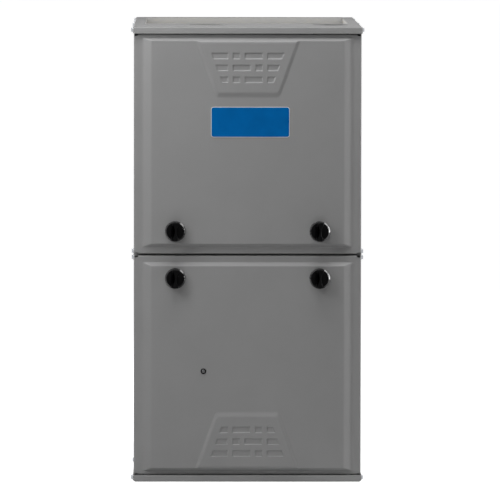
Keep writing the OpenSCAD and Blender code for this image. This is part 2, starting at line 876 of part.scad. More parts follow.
module gas_valve() {
    half = gas_valve_half;
    back_trim = 6;
    inlet_boss_r = 17;
    outlet_boss_r = 15;
    solenoid = [24, 16, 13];
    regulator = [26, 9, 9];
    slot_d = 5;
    x2 = gas_valve_x + gas_valve_w;
    inlet_x = gas_valve_x - gas_boss;
    color("gainsboro") difference() {
        union() {
            block([gas_valve_x, gas_y - half, burner_z - half],
                [x2, gas_y + half - back_trim, burner_z + half]);
            rod_x(inlet_x, gas_y, burner_z, gas_valve_x, inlet_boss_r);
            rod_x(x2, gas_y, burner_z, x2 + gas_boss, outlet_boss_r);
            translate([gas_valve_x + solenoid[0], gas_y, burner_z + half])
                cylinder(h = solenoid[1], r = solenoid[2]);
            translate([x2 - regulator[0], gas_y, burner_z + half])
                cylinder(h = regulator[1], r = regulator[2]);
        }
        rod_x(inlet_x - cut, gas_y, burner_z, inlet_x + gas_inlet_depth, gas_inlet_d / 2);
        // Slot for the switch
        block([gas_valve_x + switch_side, gas_y - half - cut, burner_z + switch_low],
            [gas_valve_x + switch_side + switch_slot, gas_y - half + slot_d, burner_z + switch_high]);
    }
}

module gas_valve_switch() {
    sink = 4.5;
    out = 5;
    x = gas_valve_x + switch_side + switch_play;
    y = gas_y - gas_valve_half;
    color("firebrick") block([x, y - out, burner_z + switch_low + switch_play],
        [x + switch_tab, y + sink, burner_z + switch_high - switch_play]);
}

// A probe through a side wall of the burner box, with its base outside
module side_probe(side, base_l) {
    reach = 34;
    base_half = [6, 10];
    x = side * box_half_w;
    rod_x(min(x, x - side * reach), flame_y, burner_z, max(x, x - side * reach), sensor_r);
    block([min(x, x + side * base_l), flame_y - base_half[0], burner_z - base_half[1]],
        [max(x, x + side * base_l), flame_y + base_half[0], burner_z + base_half[1]]);
}

module hot_surface_igniter() {
    color("white") side_probe(1, 16);
}

module flame_sensor() {
    color("ivory") side_probe(-1, 12);
}

module rollout_switches() {
    ear_half = 14;
    ear_d = 6;
    ear_t = 1;
    color("black") for (x = rollout_x) difference() {
        union() {
            block([x - ear_half, rollout_y - ear_d, box_high],
                [x + ear_half, rollout_y + ear_d, box_high + ear_t]);
            translate([x, rollout_y, box_high]) cylinder(h = rollout_h, r = rollout_r);
        }
        translate([x, rollout_y, box_high + rollout_h - reset_h - reset_travel])
            cylinder(h = rollout_h, r = reset_r + running_fit);
    }
}

module rollout_button(x) {
    base = box_high + rollout_h - reset_h;
    rest_gap = 0.1;
    color("red") translate([x, rollout_y, base + rest_gap]) cylinder(h = 2 * reset_h, r = reset_r);
}

module rollout_button_left() {
    rollout_button(rollout_x[0]);
}

module rollout_button_right() {
    rollout_button(rollout_x[1]);
}

module limit_switch() {
    ear_half = [22, 16];
    ear_y = vest_y - 1;
    body_l = 12;
    probe_l = 55;
    probe_r = 5;
    color("black") union() {
        block([limit_x - ear_half[0], ear_y, limit_z - ear_half[1]],
            [limit_x + ear_half[0], vest_y, limit_z + ear_half[1]]);
        rod_y(limit_x, ear_y - body_l, limit_z, ear_y, rollout_r);
        rod_y(limit_x, ear_y, limit_z, vest_y + probe_l, probe_r);
    }
}

// ---------- heat exchangers ----------

// A bent length of tube: half a turn about X in the Y-Z plane, opening towards -Y when side is 1
module half_bend(x, y, z, side) {
    translate([x, y, z]) rotate([90, 0, 90]) rotate([0, 0, side > 0 ? -90 : 90])
        rotate_extrude(angle = 180) translate([hx_pass / 2, 0]) difference() {
            circle(r = hx_r);
            circle(r = hx_r - hx_wall);
        }
}

module straight_tube(x, y1, z, y2) {
    difference() {
        rod_y(x, y1, z, y2, hx_r);
        rod_y(x, y1 - cut, z, y2 + cut, hx_r - hx_wall);
    }
}

module primary_tubes() {
    color("lightslategray") for (i = [0 : burner_count - 1]) union() {
        x = burner_x(i);
        straight_tube(x, vest_y + sheet_t, burner_z, hx_back);
        half_bend(x, hx_back, burner_z - hx_pass / 2, 1);
        straight_tube(x, hx_front, burner_z - hx_pass, hx_back);
        half_bend(x, hx_front, burner_z - 1.5 * hx_pass, -1);
        straight_tube(x, hx_front, hx_low, coupling_y);
    }
}

module coupling_box() {
    room = 8;
    low_z = coil_low;
    high_z = hx_low + hx_r + room;
    wall = 1.2;
    color("slategray") difference() {
        block([-coupling_half, coupling_y, low_z], [coupling_half, coupling_y + coupling_d, high_z]);
        block([-coupling_half + wall, coupling_y + wall, low_z + wall],
            [coupling_half - wall, coupling_y + coupling_d - wall, high_z - wall]);
        for (i = [0 : burner_count - 1])
            rod_y(burner_x(i), coupling_y - cut, hx_low, coupling_y + 2 * cut, hx_r - hx_wall);
        block([-coil_half + coil_lip, coupling_y - cut, coil_low + coil_sill],
            [coil_half - coil_lip, coupling_y + cut + wall, coil_high - coil_sill]);
    }
}

module coil_grid() {
    for (i = [0 : coil_columns - 1], k = [0 : coil_rows - 1])
        translate([(i - (coil_columns - 1) / 2) * coil_pitch_x, coil_z + k * coil_pitch_z]) children();
}

module coil_tubes() {
    tube_wall = 0.8;
    low_y = vest_y + sheet_t;
    color("silver") difference() {
        union() {
            for (y = [low_y, coupling_y - coil_plate_t])
                block([-coil_half, y, coil_low], [coil_half, y + coil_plate_t, coil_high]);
            plate_y(low_y + coil_plate_t, coupling_y - coil_plate_t) coil_grid() circle(r = coil_r);
        }
        plate_y(low_y - cut, coupling_y + cut) coil_grid() circle(r = coil_r - tube_wall);
    }
}

module coil_fins() {
    end_gap = 12;
    side_gap = 3;
    edge_gap = 2;
    low_y = vest_y + sheet_t + end_gap;
    high_y = coupling_y - end_gap;
    color("gainsboro") for (i = [0 : fin_count - 1]) {
        y = low_y + (high_y - low_y) * i / (fin_count - 1);
        plate_y(y - fin_t / 2, y + fin_t / 2) difference() {
            translate([-coil_half + side_gap, coil_low + edge_gap])
                square([2 * (coil_half - side_gap), coil_high - coil_low - 2 * edge_gap]);
            coil_grid() circle(r = coil_r + coil_fit);
        }
    }
}

module collector_box() {
    wall = 2;
    low_y = vest_y - collector_d;
    color("black") difference() {
        union() {
            block([collector_left, low_y, coil_low], [collector_right, vest_y, collector_high]);
            rod_y(collector_tap[0], collector_tap[1], collector_tap[2], low_y, tap_r);
            rod_y(collector_drain[0], collector_drain[1], collector_drain[2], low_y, hose_r);
        }
        block([collector_left + wall, low_y + wall, coil_low + wall],
            [collector_right - wall, vest_y + cut, collector_high - wall]);
        rod_y(inducer_x, low_y - cut, inducer_z, low_y + 2 * cut, inducer_port_r);
    }
}

// ---------- venting ----------

module inducer_housing() {
    flange_r = vent_bore_r + collar_wall;
    back_y = inducer_y + inducer_d;
    color("black") difference() {
        union() {
            translate([inducer_x, 0, inducer_z]) plate_y(inducer_y, back_y)
                polygon(scroll_points(inducer_in_r, inducer_out_r, 50, inducer_neck, inducer_wall));
            translate([vent_x, vent_y, neck_z]) cylinder(h = neck_h, r = flange_r);
            rod_y(inducer_tap[0], inducer_tap[1], inducer_tap[2], inducer_y, tap_r);
        }
        translate([inducer_x, 0, inducer_z]) plate_y(inducer_y + inducer_wall, back_y - inducer_wall)
            polygon(scroll_points(inducer_in_r, inducer_out_r, 50, inducer_neck - inducer_wall, 0));
        translate([vent_x, vent_y, neck_z - inducer_wall - 1])
            cylinder(h = inducer_wall + 2, r = vent_pipe_r - 8);
        translate([vent_x, vent_y, neck_z]) cylinder(h = neck_h + cut, r = vent_pipe_r + coil_fit);
        rod_y(inducer_x, back_y - 2 * inducer_wall, inducer_z, back_y + cut, inducer_port_r);
        rod_y(inducer_x, inducer_y - cut, inducer_z, inducer_y + 2 * inducer_wall, inducer_shaft_r + 2);
    }
}

module inducer_wheel() {
    blades = 24;
    plate_t = 2;
    ring_w = 14;
    blade_half = 0.6;
    hub_l = 16;
    hub_end_r = 9;
    shaft_out = 4;
    low_y = inducer_y + 12;
    high_y = low_y + inducer_wheel_w;
    color("dimgray") union() {
        rod_y(inducer_x, low_y, inducer_z, low_y + plate_t, inducer_wheel_r);
        difference() {
            rod_y(inducer_x, high_y - plate_t, inducer_z, high_y, inducer_wheel_r);
            rod_y(inducer_x, high_y - plate_t - cut, inducer_z, high_y + cut, inducer_wheel_r - ring_w);
        }
        for (i = [0 : blades - 1]) translate([inducer_x, 0, inducer_z]) rotate([0, 360 * i / blades, 0])
            block([inducer_wheel_r - ring_w + 1, low_y + 1, -blade_half],
                [inducer_wheel_r - 1, high_y - 1, blade_half]);
        rod_y(inducer_x, low_y, inducer_z, low_y + hub_l, hub_end_r);
        rod_y(inducer_x, inducer_motor_y - inducer_fan_d - shaft_out, inducer_z,
            low_y + plate_t, inducer_shaft_r);
    }
}

module inducer_motor() {
    plate_half = 52;
    plate_t = 2;
    post_l = 4;
    post_r = 4;
    post_ring = 46;
    plate_y1 = inducer_y - post_l - plate_t;
    color("darkgray") difference() {
        union() {
            rod_y(inducer_x, inducer_motor_y, inducer_z, plate_y1, inducer_motor_r);
            rod_y(inducer_x, plate_y1, inducer_z, inducer_y - post_l, plate_half);
            for (a = [45 : 90 : 315]) rod_y(inducer_x + post_ring * cos(a), inducer_y - post_l,
                inducer_z + post_ring * sin(a), inducer_y, post_r);
        }
        rod_y(inducer_x, inducer_motor_y - cut, inducer_z, inducer_y + cut, inducer_shaft_r + running_fit);
    }
}

// Small cooling fan on the motor's front end
module inducer_fan() {
    vanes = 6;
    vane = [26, 1.2, 16];
    vane_start = 6;
    vane_tilt = 25;
    fan_hub_r = 9;
    high_y = inducer_motor_y - 2;
    low_y = high_y - inducer_fan_d;
    color("black") difference() {
        union() {
            rod_y(inducer_x, low_y, inducer_z, high_y, fan_hub_r);
            for (i = [0 : vanes - 1])
                translate([inducer_x, (low_y + high_y) / 2, inducer_z]) rotate([0, 360 * i / vanes, 0])
                translate([vane_start, 0, 0]) rotate([vane_tilt, 0, 0])
                translate([0, -vane[1] / 2, -vane[2] / 2]) cube(vane);
        }
        rod_y(inducer_x, low_y - cut, inducer_z, high_y + cut, inducer_shaft_r);
    }
}

module vent_pipe() {
    color("whitesmoke") translate([vent_x, vent_y, neck_z + 1]) difference() {
        cylinder(h = pipe_top - neck_z - 1, r = vent_pipe_r);
        translate([0, 0, -cut]) cylinder(h = pipe_top, r = vent_pipe_r - vent_wall);
    }
}

// Rubber coupling with its two bands. The inner pipe ends below its middle stop, the outer pipe above.
module vent_coupling() {
    band_h = 12;
    band_z = 10;
    color("black") translate([vent_x, vent_y, coupling_top - coupling_h]) difference() {
        union() {
            cylinder(h = coupling_h, r = vent_bore_r + coupling_wall - 1);
            for (z = [band_z, coupling_h - band_z - band_h]) translate([0, 0, z])
                cylinder(h = band_h, r = vent_bore_r + coupling_wall);
        }
        translate([0, 0, -cut]) cylinder(h = socket_h + cut, r = vent_bore_r);
        translate([0, 0, coupling_h - socket_h]) cylinder(h = socket_h + cut, r = vent_bore_r);
        cylinder(h = coupling_h, r = vent_pipe_r - vent_wall);
    }
}

module air_collar() {
    foot_t = 3;
    foot_w = 10;
    h = air_top - box_high;
    color("whitesmoke") translate([air_x, air_y, box_high]) difference() {
        union() {
            cylinder(h = h, r = vent_bore_r + collar_wall);
            cylinder(h = foot_t, r = vent_bore_r + collar_wall + foot_w);
        }
        translate([0, 0, -cut]) cylinder(h = h + 2 * cut, r = vent_bore_r);
    }
}

module pressure_switch() {
    low_y = vest_y - switch_mount - switch_d;
    foot = 20;
    seam_w = 3;
    seam_y = 10;
    seam_t = 4;
    color("dimgray") union() {
        rod_y(switch_x, low_y, switch_z, low_y + switch_d, switch_r);
        rod_y(switch_x, low_y + seam_y, switch_z, low_y + seam_y + seam_t, switch_r + seam_w);
        for (x = [-port_x, port_x]) rod_y(switch_x + x, low_y - port_l, switch_z - port_drop, low_y, tap_r);
        block([switch_x - foot, low_y + switch_d, switch_z - foot],
            [switch_x + foot, vest_y, switch_z + foot]);
    }
}

module pressure_tubes() {
    color("tan") {
        flexible(inducer_tube_route, tube_r, [1, 0, 0.3]);
        flexible(collector_tube_route, tube_r, [1, 0, 0.3]);
    }
}

// ---------- condensate ----------

module condensate_trap() {
    mount_in = 8;
    mount_low = 40;
    mount_high = 10;
    cap_x = 33;
    cap_y = 30;
    cap_h = 12;
    cap_r = 11;
    stub_wall = 2;
    bore_in = 20;
    x2 = trap_x + trap_w;
    color("whitesmoke") difference() {
        union() {
            block([trap_x, trap_y, trap_low], [x2, trap_y + trap_d, trap_high]);
            block([trap_x + mount_in, trap_y + trap_d, trap_high - mount_low],
                [x2 - mount_in, vest_y, trap_high - mount_high]);
            rod_x(trap_x - drain_stub, drain_y, drain_z, trap_x, drain_d / 2);
            rod_y(trap_inlet[0], trap_inlet[1], trap_inlet[2], trap_y, hose_r);
            translate([trap_x + cap_x, trap_y + cap_y, trap_high]) cylinder(h = cap_h, r = cap_r);
        }
        rod_x(trap_x - drain_stub - cut, drain_y, drain_z, trap_x + bore_in, drain_d / 2 - stub_wall);
    }
}

module drain_hose() {
    color("black") flexible(drain_hose_route, hose_r + 1.5, [0, 0, 1]);
}

// ---------- blower ----------

module blower_housing() {
    side_x = scroll_half + sheet_t;
    color("lightgray") union() {
        translate([0, blower_y, blower_z]) plate_x(-scroll_half, scroll_half) difference() {
            polygon(scroll_points(scroll_small, scroll_big, 90, scroll_up, sheet_t));
            polygon(scroll_points(scroll_small, scroll_big, 90, scroll_up + cut, 0));
        }
        for (x = [-side_x, scroll_half])
            translate([0, blower_y, blower_z]) plate_x(x, x + sheet_t) difference() {
                polygon(scroll_points(scroll_small, scroll_big, 90, scroll_up, sheet_t));
                circle(r = inlet_r);
            }
        // Turned-in lips of the two inlets
        for (x = [-scroll_half, scroll_half - inlet_lip]) translate([0, blower_y, blower_z])
            plate_x(x, x + inlet_lip) difference() {
                circle(r = inlet_r + sheet_t);
                circle(r = inlet_r);
            }
        for (x = [-side_x - flange_reach, side_x])
            block([x, blower_y, flange_z], [x + flange_reach, blower_y + scroll_big, flange_z + sheet_t]);
    }
}

// One forward-curved blade in the plane square to the axis
module blade_outline() {
    bend = [for (s = [0 : 0.25 : 1])
        (blade_in + blade_l * s) * [cos(blade_turn * s * s), sin(blade_turn * s * s)]];
    polygon(concat(bend, [for (i = [len(bend) - 1 : -1 : 0]) bend[i] + [0, blade_t]]));
}

module blower_wheel() {
    half = blower_w / 2;
    ring_half = 2;
    disc_half = 0.75;
    color("silver") translate([0, blower_y, blower_z]) difference() {
        union() {
            rod_x(-disc_half, 0, 0, disc_half, blower_r - 1);
            rod_x(-hub_half, 0, 0, hub_half, hub_r);
            for (side = [-1, 1]) {
                x = side * (half - ring_half);
                difference() {
                    rod_x(x - ring_half, 0, 0, x + ring_half, blower_r);
                    rod_x(x - ring_half - cut, 0, 0, x + ring_half + cut, blower_r - blade_l / 2);
                }
            }
            plate_x(-half + 1, half - 1)
                for (i = [0 : blade_count - 1]) rotate(360 * i / blade_count) blade_outline();
        }
        rod_x(-hub_half - cut, 0, 0, hub_half + cut, shaft_r);
    }
}

module blower_shaft() {
    color("dimgray") rod_x(motor_end - shaft_in, blower_y, blower_z, hub_half + shaft_end, shaft_r);
}

// Motor with the round control module on its outer end
module blower_motor() {
    start = motor_end - motor_l;
    color("dimgray") difference() {
        union() {
            rod_x(start, blower_y, blower_z, motor_end, motor_r);
            rod_x(start - module_l, blower_y, blower_z, start, module_r);
            rod_x(motor_end, blower_y, blower_z, motor_end + motor_boss_l, motor_boss_r);
            block([plug_x - plug_half, blower_y - plug_half, blower_z],
                [plug_x + plug_half, blower_y + plug_half, plug_z]);
        }
        rod_x(motor_end - shaft_in - 1, blower_y, blower_z,
            motor_end + motor_boss_l + cut, shaft_r + running_fit);
    }
}

// Clamping band round the motor with three arms to the housing's inlet
module motor_mount() {
    arm_x = -scroll_half - sheet_t - arm_t;
    color("silver") difference() {
        union() {
            rod_x(band_x, blower_y, blower_z, band_x + band_w, motor_r + band_t);
            for (a = [30, 150, 270]) translate([0, blower_y, blower_z]) rotate([a, 0, 0])
                block([arm_x, motor_r, -9], [arm_x + arm_t, arm_r, 9]);
        }
        rod_x(band_x - cut, blower_y, blower_z, band_x + band_w + cut, motor_r);
    }
}

// ---------- controls ----------

module control_box() {
    wall = 1.2;
    x2 = control_x + control_w;
    y2 = control_y + control_d;
    bracket_y = switch_body_y + switch_body_d;
    bracket_half = 22;
    color("lightgray") difference() {
        union() {
            block([control_x, control_y, control_low], [x2, y2, shelf_z]);
            // Bracket behind the door switch
            block([x2, bracket_y, striker_z - bracket_half],
                [striker_x + 20, bracket_y + wall, striker_z + bracket_half]);
            block([x2, bracket_y, striker_z - bracket_half],
                [x2 + wall, control_y + 12, striker_z + bracket_half]);
        }
        block([control_x + wall, control_y - cut, control_low + wall],
            [x2 - wall, y2 - wall, shelf_z - wall]);
        translate([grommet_x, grommet_y, shelf_z - 2 * wall]) cylinder(h = 10, r = grommet_r);
    }
}

module control_board() {
    wall = 1.2;
    standoff = 8;
    standoff_r = 3;
    hole_in = 8;
    low_in = 6;
    relays = 4;
    relay = [24, 16, 28];
    relay_at = [12, 92];
    relay_step = 32;
    strip = [100, 10, 10];
    strip_at = [20, 50];
    plug = [40, 14, 26];
    plug_at = [96, 8];
    led_l = 8;
    back = control_y + control_d - wall - standoff;
    low_z = control_low + low_in;
    color("darkgreen") union() {
        block([board_x, back, low_z], [board_x + board_w, back + board_t, low_z + board_h]);
        for (x = [hole_in, board_w - hole_in], z = [hole_in, board_h - hole_in])
            rod_y(board_x + x, back + board_t, low_z + z, control_y + control_d - wall, standoff_r);
        for (i = [0 : relays - 1])
            translate([board_x + relay_at[0] + relay_step * i, back - relay[1], low_z + relay_at[1]])
                cube(relay);
        translate([board_x + strip_at[0], back - strip[1], low_z + strip_at[1]]) cube(strip);
        translate([board_x + plug_at[0], back - plug[1], low_z + plug_at[1]]) cube(plug);
        rod_y(sight_x, back - led_l, sight_z, back, led_r);
    }
}

module transformer() {
    core = [64, 34, 54];
    coil = [44, 54, 34];
    foot = [84, 6, 2];
    foot_y = 24;
    x = board_x + 12;
    y = control_y + 10;
    z = shelf_z - 78;
    color("dimgray") translate([x, y, z]) union() {
        translate([0, (coil[1] - core[1]) / 2, 0]) cube(core);
        translate([(core[0] - coil[0]) / 2, 0, (core[2] - coil[2]) / 2]) cube(coil);
        translate([(core[0] - foot[0]) / 2, foot_y, -foot[2]]) cube(foot);
    }
}

module door_switch() {
    body_half = [14, 16];
    bore_d = plunger_in + 2;
    color("black") difference() {
        block([striker_x - body_half[0], switch_body_y, striker_z - body_half[1]],
            [striker_x + body_half[0], switch_body_y + switch_body_d, striker_z + body_half[1]]);
        rod_y(striker_x, switch_body_y - cut, striker_z, switch_body_y + bore_d, plunger_r + running_fit);
    }
}

module door_switch_plunger() {
    color("ivory") rod_y(striker_x, striker_y, striker_z, switch_body_y + plunger_in, plunger_r);
}

// Box behind the wiring hole, with its flanged cover
module junction_box() {
    wall = 1.2;
    cover = 3;
    x1 = -inner_x;
    x2 = x1 + junction_w;
    color("lightgray") difference() {
        union() {
            block([x1, junction_y, junction_z], [x2, junction_y + junction_d, junction_z + junction_h]);
            block([x2, junction_y - cover, junction_z - cover],
                [x2 + wall, junction_y + junction_d + cover, junction_z + junction_h + cover]);
        }
        block([x1 + wall, junction_y + wall, junction_z + wall],
            [x2, junction_y + junction_d - wall, junction_z + junction_h - wall]);
        rod_x(x1 - cut, wiring_y, wiring_z, x1 + wall + cut, wiring_hole_d / 2);
    }
}

module wiring_harness() {
    loom_r = 6;
    lead_r = 5;
    color("black") {
        flexible(loom_route, loom_r, [1, 0, 0]);
        flexible(motor_route, lead_r, [0, 0.2, 1]);
    }
}

// ---------- doors ----------

// A slab whose face is smaller than its foot: foot at y1, face at y2
module raised(foot, face, y1, y2) {
    hull() {
        plate_y(y1 - eps, y1) polygon(foot);
        plate_y(y2, y2 + eps) polygon(face);
    }
}

function box_points(w, h) = [[-w / 2, -h / 2], [w / 2, -h / 2], [w / 2, h / 2], [-w / 2, h / 2]];

function trapezoid_points(inset) = [
    [-trapezoid_wide / 2 + inset, trapezoid_top],
    [-trapezoid_narrow / 2 + inset, trapezoid_top - trapezoid_h + inset],
    [trapezoid_narrow / 2 - inset, trapezoid_top - trapezoid_h + inset],
    [trapezoid_wide / 2 - inset, trapezoid_top]
];

// The pressed skin, solid up to its own surface. back moves the whole surface towards the casing.
module pressed_body(back) {
    face_y = panel_y + back;
    flat_top = panel_mid + panel_h / 2 - bevel_end;
    translate([0, 0, panel_mid]) raised(
        box_points(panel_w, panel_h),
        box_points(panel_w - 2 * bevel_side, panel_h - 2 * bevel_end),
        rim_y + back, face_y
    );
    raised(
        [for (p = trapezoid_points(0)) [p[0], min(p[1], flat_top)]],
        [for (p = trapezoid_points(trapezoid_slope)) [p[0], min(p[1], flat_top - 1)]],
        face_y + 1, face_y - trapezoid_rise
    );
}

// Half width of the trapezoid at a height below its wide end
function trapezoid_half(drop) = trapezoid_wide / 2 - drop * trapezoid_lean;

// One row of pockets in the plane of the door. grow widens each pocket all round.
module pocket_row(row, grow) {
    drop = pocket_first + row * pocket_pitch;
    z1 = trapezoid_top - drop - pocket_h / 2 - grow;
    z2 = trapezoid_top - drop + pocket_h / 2 + grow;
    low_half = trapezoid_half(drop + pocket_h / 2 + grow) - pocket_margin + grow;
    high_half = trapezoid_half(drop - pocket_h / 2 - grow) - pocket_margin + grow;
    inner = pocket_core + pocket_gap - grow;
    first = row % 2 == 0 ? pocket_short : pocket_long;
    polygon([[-high_half, z2], [-low_half, z1], [-inner, z1], [-inner, z2]]);
    polygon([[high_half, z2], [low_half, z1], [inner, z1], [inner, z2]]);
    translate([-pocket_core - grow, z1]) square([first + 2 * grow, z2 - z1]);
    translate([-pocket_core + first + pocket_gap - grow, z1])
        square([2 * pocket_core - first - pocket_gap + 2 * grow, z2 - z1]);
}

module pockets(grow) {
    for (row = [0 : pocket_rows - 1]) pocket_row(row, grow);
}

// The stamped door, drawn about its own middle with the pockets at the top
module door_skin() {
    face_y = panel_y - trapezoid_rise;
    difference() {
        union() {
            block([-door_w / 2, rim_y, -door_h / 2], [door_w / 2, front_y - seal_t, door_h / 2]);
            pressed_body(0);
        }
        // The hollow behind the skin, which leaves the pockets' floors
        difference() {
            union() {
                block([-door_w / 2 + sheet_t, rim_y + sheet_t, -door_h / 2 + sheet_t],
                    [door_w / 2 - sheet_t, front_y - seal_t - sheet_t, door_h / 2 - sheet_t]);
                pressed_body(sheet_t);
            }
            plate_y(face_y, face_y + pocket_depth + sheet_t) pockets(sheet_t);
        }
        block([-door_w / 2 + door_return, front_y - seal_t - 2 * sheet_t, -door_h / 2 + door_return],
            [door_w / 2 - door_return, front_y, door_h / 2 - door_return]);
        plate_y(face_y - cut, face_y + pocket_depth) pockets(0);
        // Small relief at each corner, where the folds meet
        for (x = [-1, 1], z = [-1, 1]) translate([x * door_w / 2, (rim_y + front_y) / 2, z * door_h / 2])
            cube([2 * relief_w, front_y - rim_y + 2 * cut, 2 * relief_h], center = true);
        for (x = [-knob_x, knob_x])
            rod_y(x, face_y - cut, knob_z - door_mid, panel_y + 3 * sheet_t, knob_bore_r);
    }
}

module upper_door() {
    color("gray") translate([0, 0, gap_z + door_mid]) door_skin();
}

module name_plate() {
    mid_z = gap_z + door_mid + plate_rise;
    color([0, 0.35, 0.61]) plate_y(panel_y - plate_t, panel_y) translate([plate_side, mid_z]) union() {
        square([plate_w - 2 * plate_corner, plate_h], center = true);
        square([plate_w, plate_h - 2 * plate_corner], center = true);
        for (x = [-1, 1], z = [-1, 1])
            translate([x * (plate_w / 2 - plate_corner), z * (plate_h / 2 - plate_corner)])
                circle(r = plate_corner);
    }
}

module lower_door() {
    tab_y = panel_y + sheet_t;
    color("gray") difference() {
        union() {
            translate([0, 0, gap_z - door_mid]) rotate([0, 180, 0]) door_skin();
            // Tab that holds the door switch in
            block([striker_x - striker_half, tab_y - sheet_t / 2, striker_z + striker_drop],
                [striker_x + striker_half, striker_y, striker_z + striker_drop + sheet_t]);
            block([striker_x - striker_half, striker_y - sheet_t, striker_z - striker_drop],
                [striker_x + striker_half, striker_y, striker_z + striker_drop + sheet_t]);
        }
        rod_y(sight_x, panel_y - cut, sight_z, panel_y + 3 * sheet_t, sight_r - 1);
    }
}

module door_liner() {
    liner_t = 8;
    half_w = panel_w / 2 - bevel_side - 6;
    low_z = lip_h + door_fit + rim_end + bevel_end + trapezoid_h + 6;
    y = panel_y + sheet_t;
    color("silver") difference() {
        block([-half_w, y, low_z], [half_w, y + liner_t, striker_z - 20]);
        rod_y(sight_x, y - cut, sight_z, y + liner_t + cut, sight_r + 2);
    }
}

// Clear lens in its black ring, held in the lower door
module sight_glass() {
    color("black") union() {
        rod_y(sight_x, panel_y - 1.5, sight_z, panel_y, sight_r);
        rod_y(sight_x, panel_y, sight_z, panel_y + 4, sight_r - 1);
        rod_y(sight_x, panel_y - 2.2, sight_z, panel_y - 1.5, sight_lens_r);
    }
}

// Upright bar with a scoop for a finger on each side
module grip_outline(r) {
    difference() {
        square([grip_w, 2 * r], center = true);
        for (side = [-1, 1]) translate([side * (r + grip_waist / 2), 0]) circle(r = r);
    }
}

// A quarter-turn knob: domed skirt, grip, shaft and the tongue that locks behind the mid rail
module knob(side_x, side_z) {
    r = knob_d / 2;
    base_y = panel_y - knob_sink;
    rim = 1.5;
    grip_h = knob_out - knob_sink - skirt_t + rim / 3;
    color("black") translate([side_x * knob_x, 0, gap_z + side_z * knob_z]) {
        translate([0, base_y, 0]) rotate([90, 0, 0]) rotate_extrude()
            polygon([[0, 0], [r, 0], [r, skirt_t - rim], [r - rim, skirt_t], [0, skirt_t + 1.5]]);
        translate([0, base_y - skirt_t + rim / 3, 0]) rotate([0, -grip_lean, 0]) rotate([90, 0, 0])
            intersection() {
                cylinder(h = grip_h, r1 = r - 1, r2 = r - 3);
                linear_extrude(height = knob_out) grip_outline(r);
            }
        rod_y(0, base_y - 1, 0, tongue_y + tongue_t, knob_shaft_d / 2);
        block([-tongue_w / 2, tongue_y, -tongue_l / 2], [tongue_w / 2, tongue_y + tongue_t, tongue_l / 2]);
    }
}

module knob_upper_left() {
    knob(-1, 1);
}

module knob_upper_right() {
    knob(1, 1);
}

module knob_lower_left() {
    knob(-1, -1);
}

module knob_lower_right() {
    knob(1, -1);
}

casing_wrapper();
top_plate();
base_tray();
bottom_closure();
blower_shelf();
mid_rail();
vest_panel();
casing_insulation();
door_seal();
cabinet_screws();
knockout_plugs();
burner_box();
burners();
gas_manifold();
gas_valve();
gas_valve_switch();
hot_surface_igniter();
flame_sensor();
rollout_switches();
rollout_button_left();
rollout_button_right();
limit_switch();
primary_tubes();
coupling_box();
coil_tubes();
coil_fins();
collector_box();
inducer_housing();
inducer_wheel();
inducer_motor();
inducer_fan();
vent_pipe();
vent_coupling();
air_collar();
pressure_switch();
pressure_tubes();
condensate_trap();
drain_hose();
blower_housing();
blower_wheel();
blower_shaft();
blower_motor();
motor_mount();
control_box();
control_board();
transformer();
door_switch();
door_switch_plunger();
junction_box();
wiring_harness();
upper_door();
name_plate();
lower_door();
door_liner();
sight_glass();
knob_upper_left();
knob_upper_right();
knob_lower_left();
knob_lower_right();
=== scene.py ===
"""Forced air gas furnace: finishes, pressed skins, light and camera round the fixed frame."""

import json
import logging
import math
from dataclasses import dataclass, field
from enum import Enum
from typing import Callable

import bmesh
import bpy
import numpy as np
from mathutils import Matrix, Vector


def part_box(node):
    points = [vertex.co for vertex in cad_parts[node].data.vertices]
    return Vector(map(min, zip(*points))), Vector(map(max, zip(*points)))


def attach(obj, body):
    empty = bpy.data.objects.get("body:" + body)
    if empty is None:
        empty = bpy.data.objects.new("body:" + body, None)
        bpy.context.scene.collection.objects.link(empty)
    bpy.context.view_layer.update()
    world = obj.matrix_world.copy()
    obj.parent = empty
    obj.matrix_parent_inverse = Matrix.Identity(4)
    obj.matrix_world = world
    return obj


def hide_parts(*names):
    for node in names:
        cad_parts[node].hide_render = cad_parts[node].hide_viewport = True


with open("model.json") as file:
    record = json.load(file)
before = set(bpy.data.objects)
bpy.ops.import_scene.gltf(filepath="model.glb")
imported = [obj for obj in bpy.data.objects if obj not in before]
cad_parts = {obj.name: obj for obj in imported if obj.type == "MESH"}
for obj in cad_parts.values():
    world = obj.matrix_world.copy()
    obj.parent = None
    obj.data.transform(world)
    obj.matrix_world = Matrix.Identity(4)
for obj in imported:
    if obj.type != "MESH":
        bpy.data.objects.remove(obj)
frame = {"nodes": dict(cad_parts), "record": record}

LOG = logging.getLogger("furnace")
MM = 0.001
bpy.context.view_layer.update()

Colour = tuple[float, float, float]
Point = tuple[float, float, float]
Outline = list[tuple[float, float]]
Socket = bpy.types.NodeSocket
Piece = bpy.types.Object
Material = bpy.types.Material

WELD = 1e-7
CAD_WELD = 1e-6


# --- Shader building ---


def srgb(red: int, green: int, blue: int) -> Colour:
    """Turn a colour as it is seen on a screen into the linear values that shaders use.

    Args:
        red: Red, 0 to 255.
        green: Green, 0 to 255.
        blue: Blue, 0 to 255.

    Returns:
        The three linear values, 0 to 1.
    """
    def linear(value: float) -> float:
        """Undo the screen's curve for one channel."""
        return value / 12.92 if value <= 0.04045 else ((value + 0.055) / 1.055) ** 2.4

    return tuple(linear(channel / 255) for channel in (red, green, blue))


def shade(colour: Colour, factor: float) -> Colour:
    """A colour made lighter or darker by a factor."""
    return tuple(min(1.0, channel * factor) for channel in colour)


def put(tree: bpy.types.NodeTree, socket: Socket, value: object) -> None:
    """Link an input to a socket, or set its plain value.

    Args:
        tree: The tree that both are in.
        socket: The input.
        value: A socket of another node, or a value.
    """
    if isinstance(value, Socket):
        tree.links.new(value, socket)
    else:
        socket.default_value = value


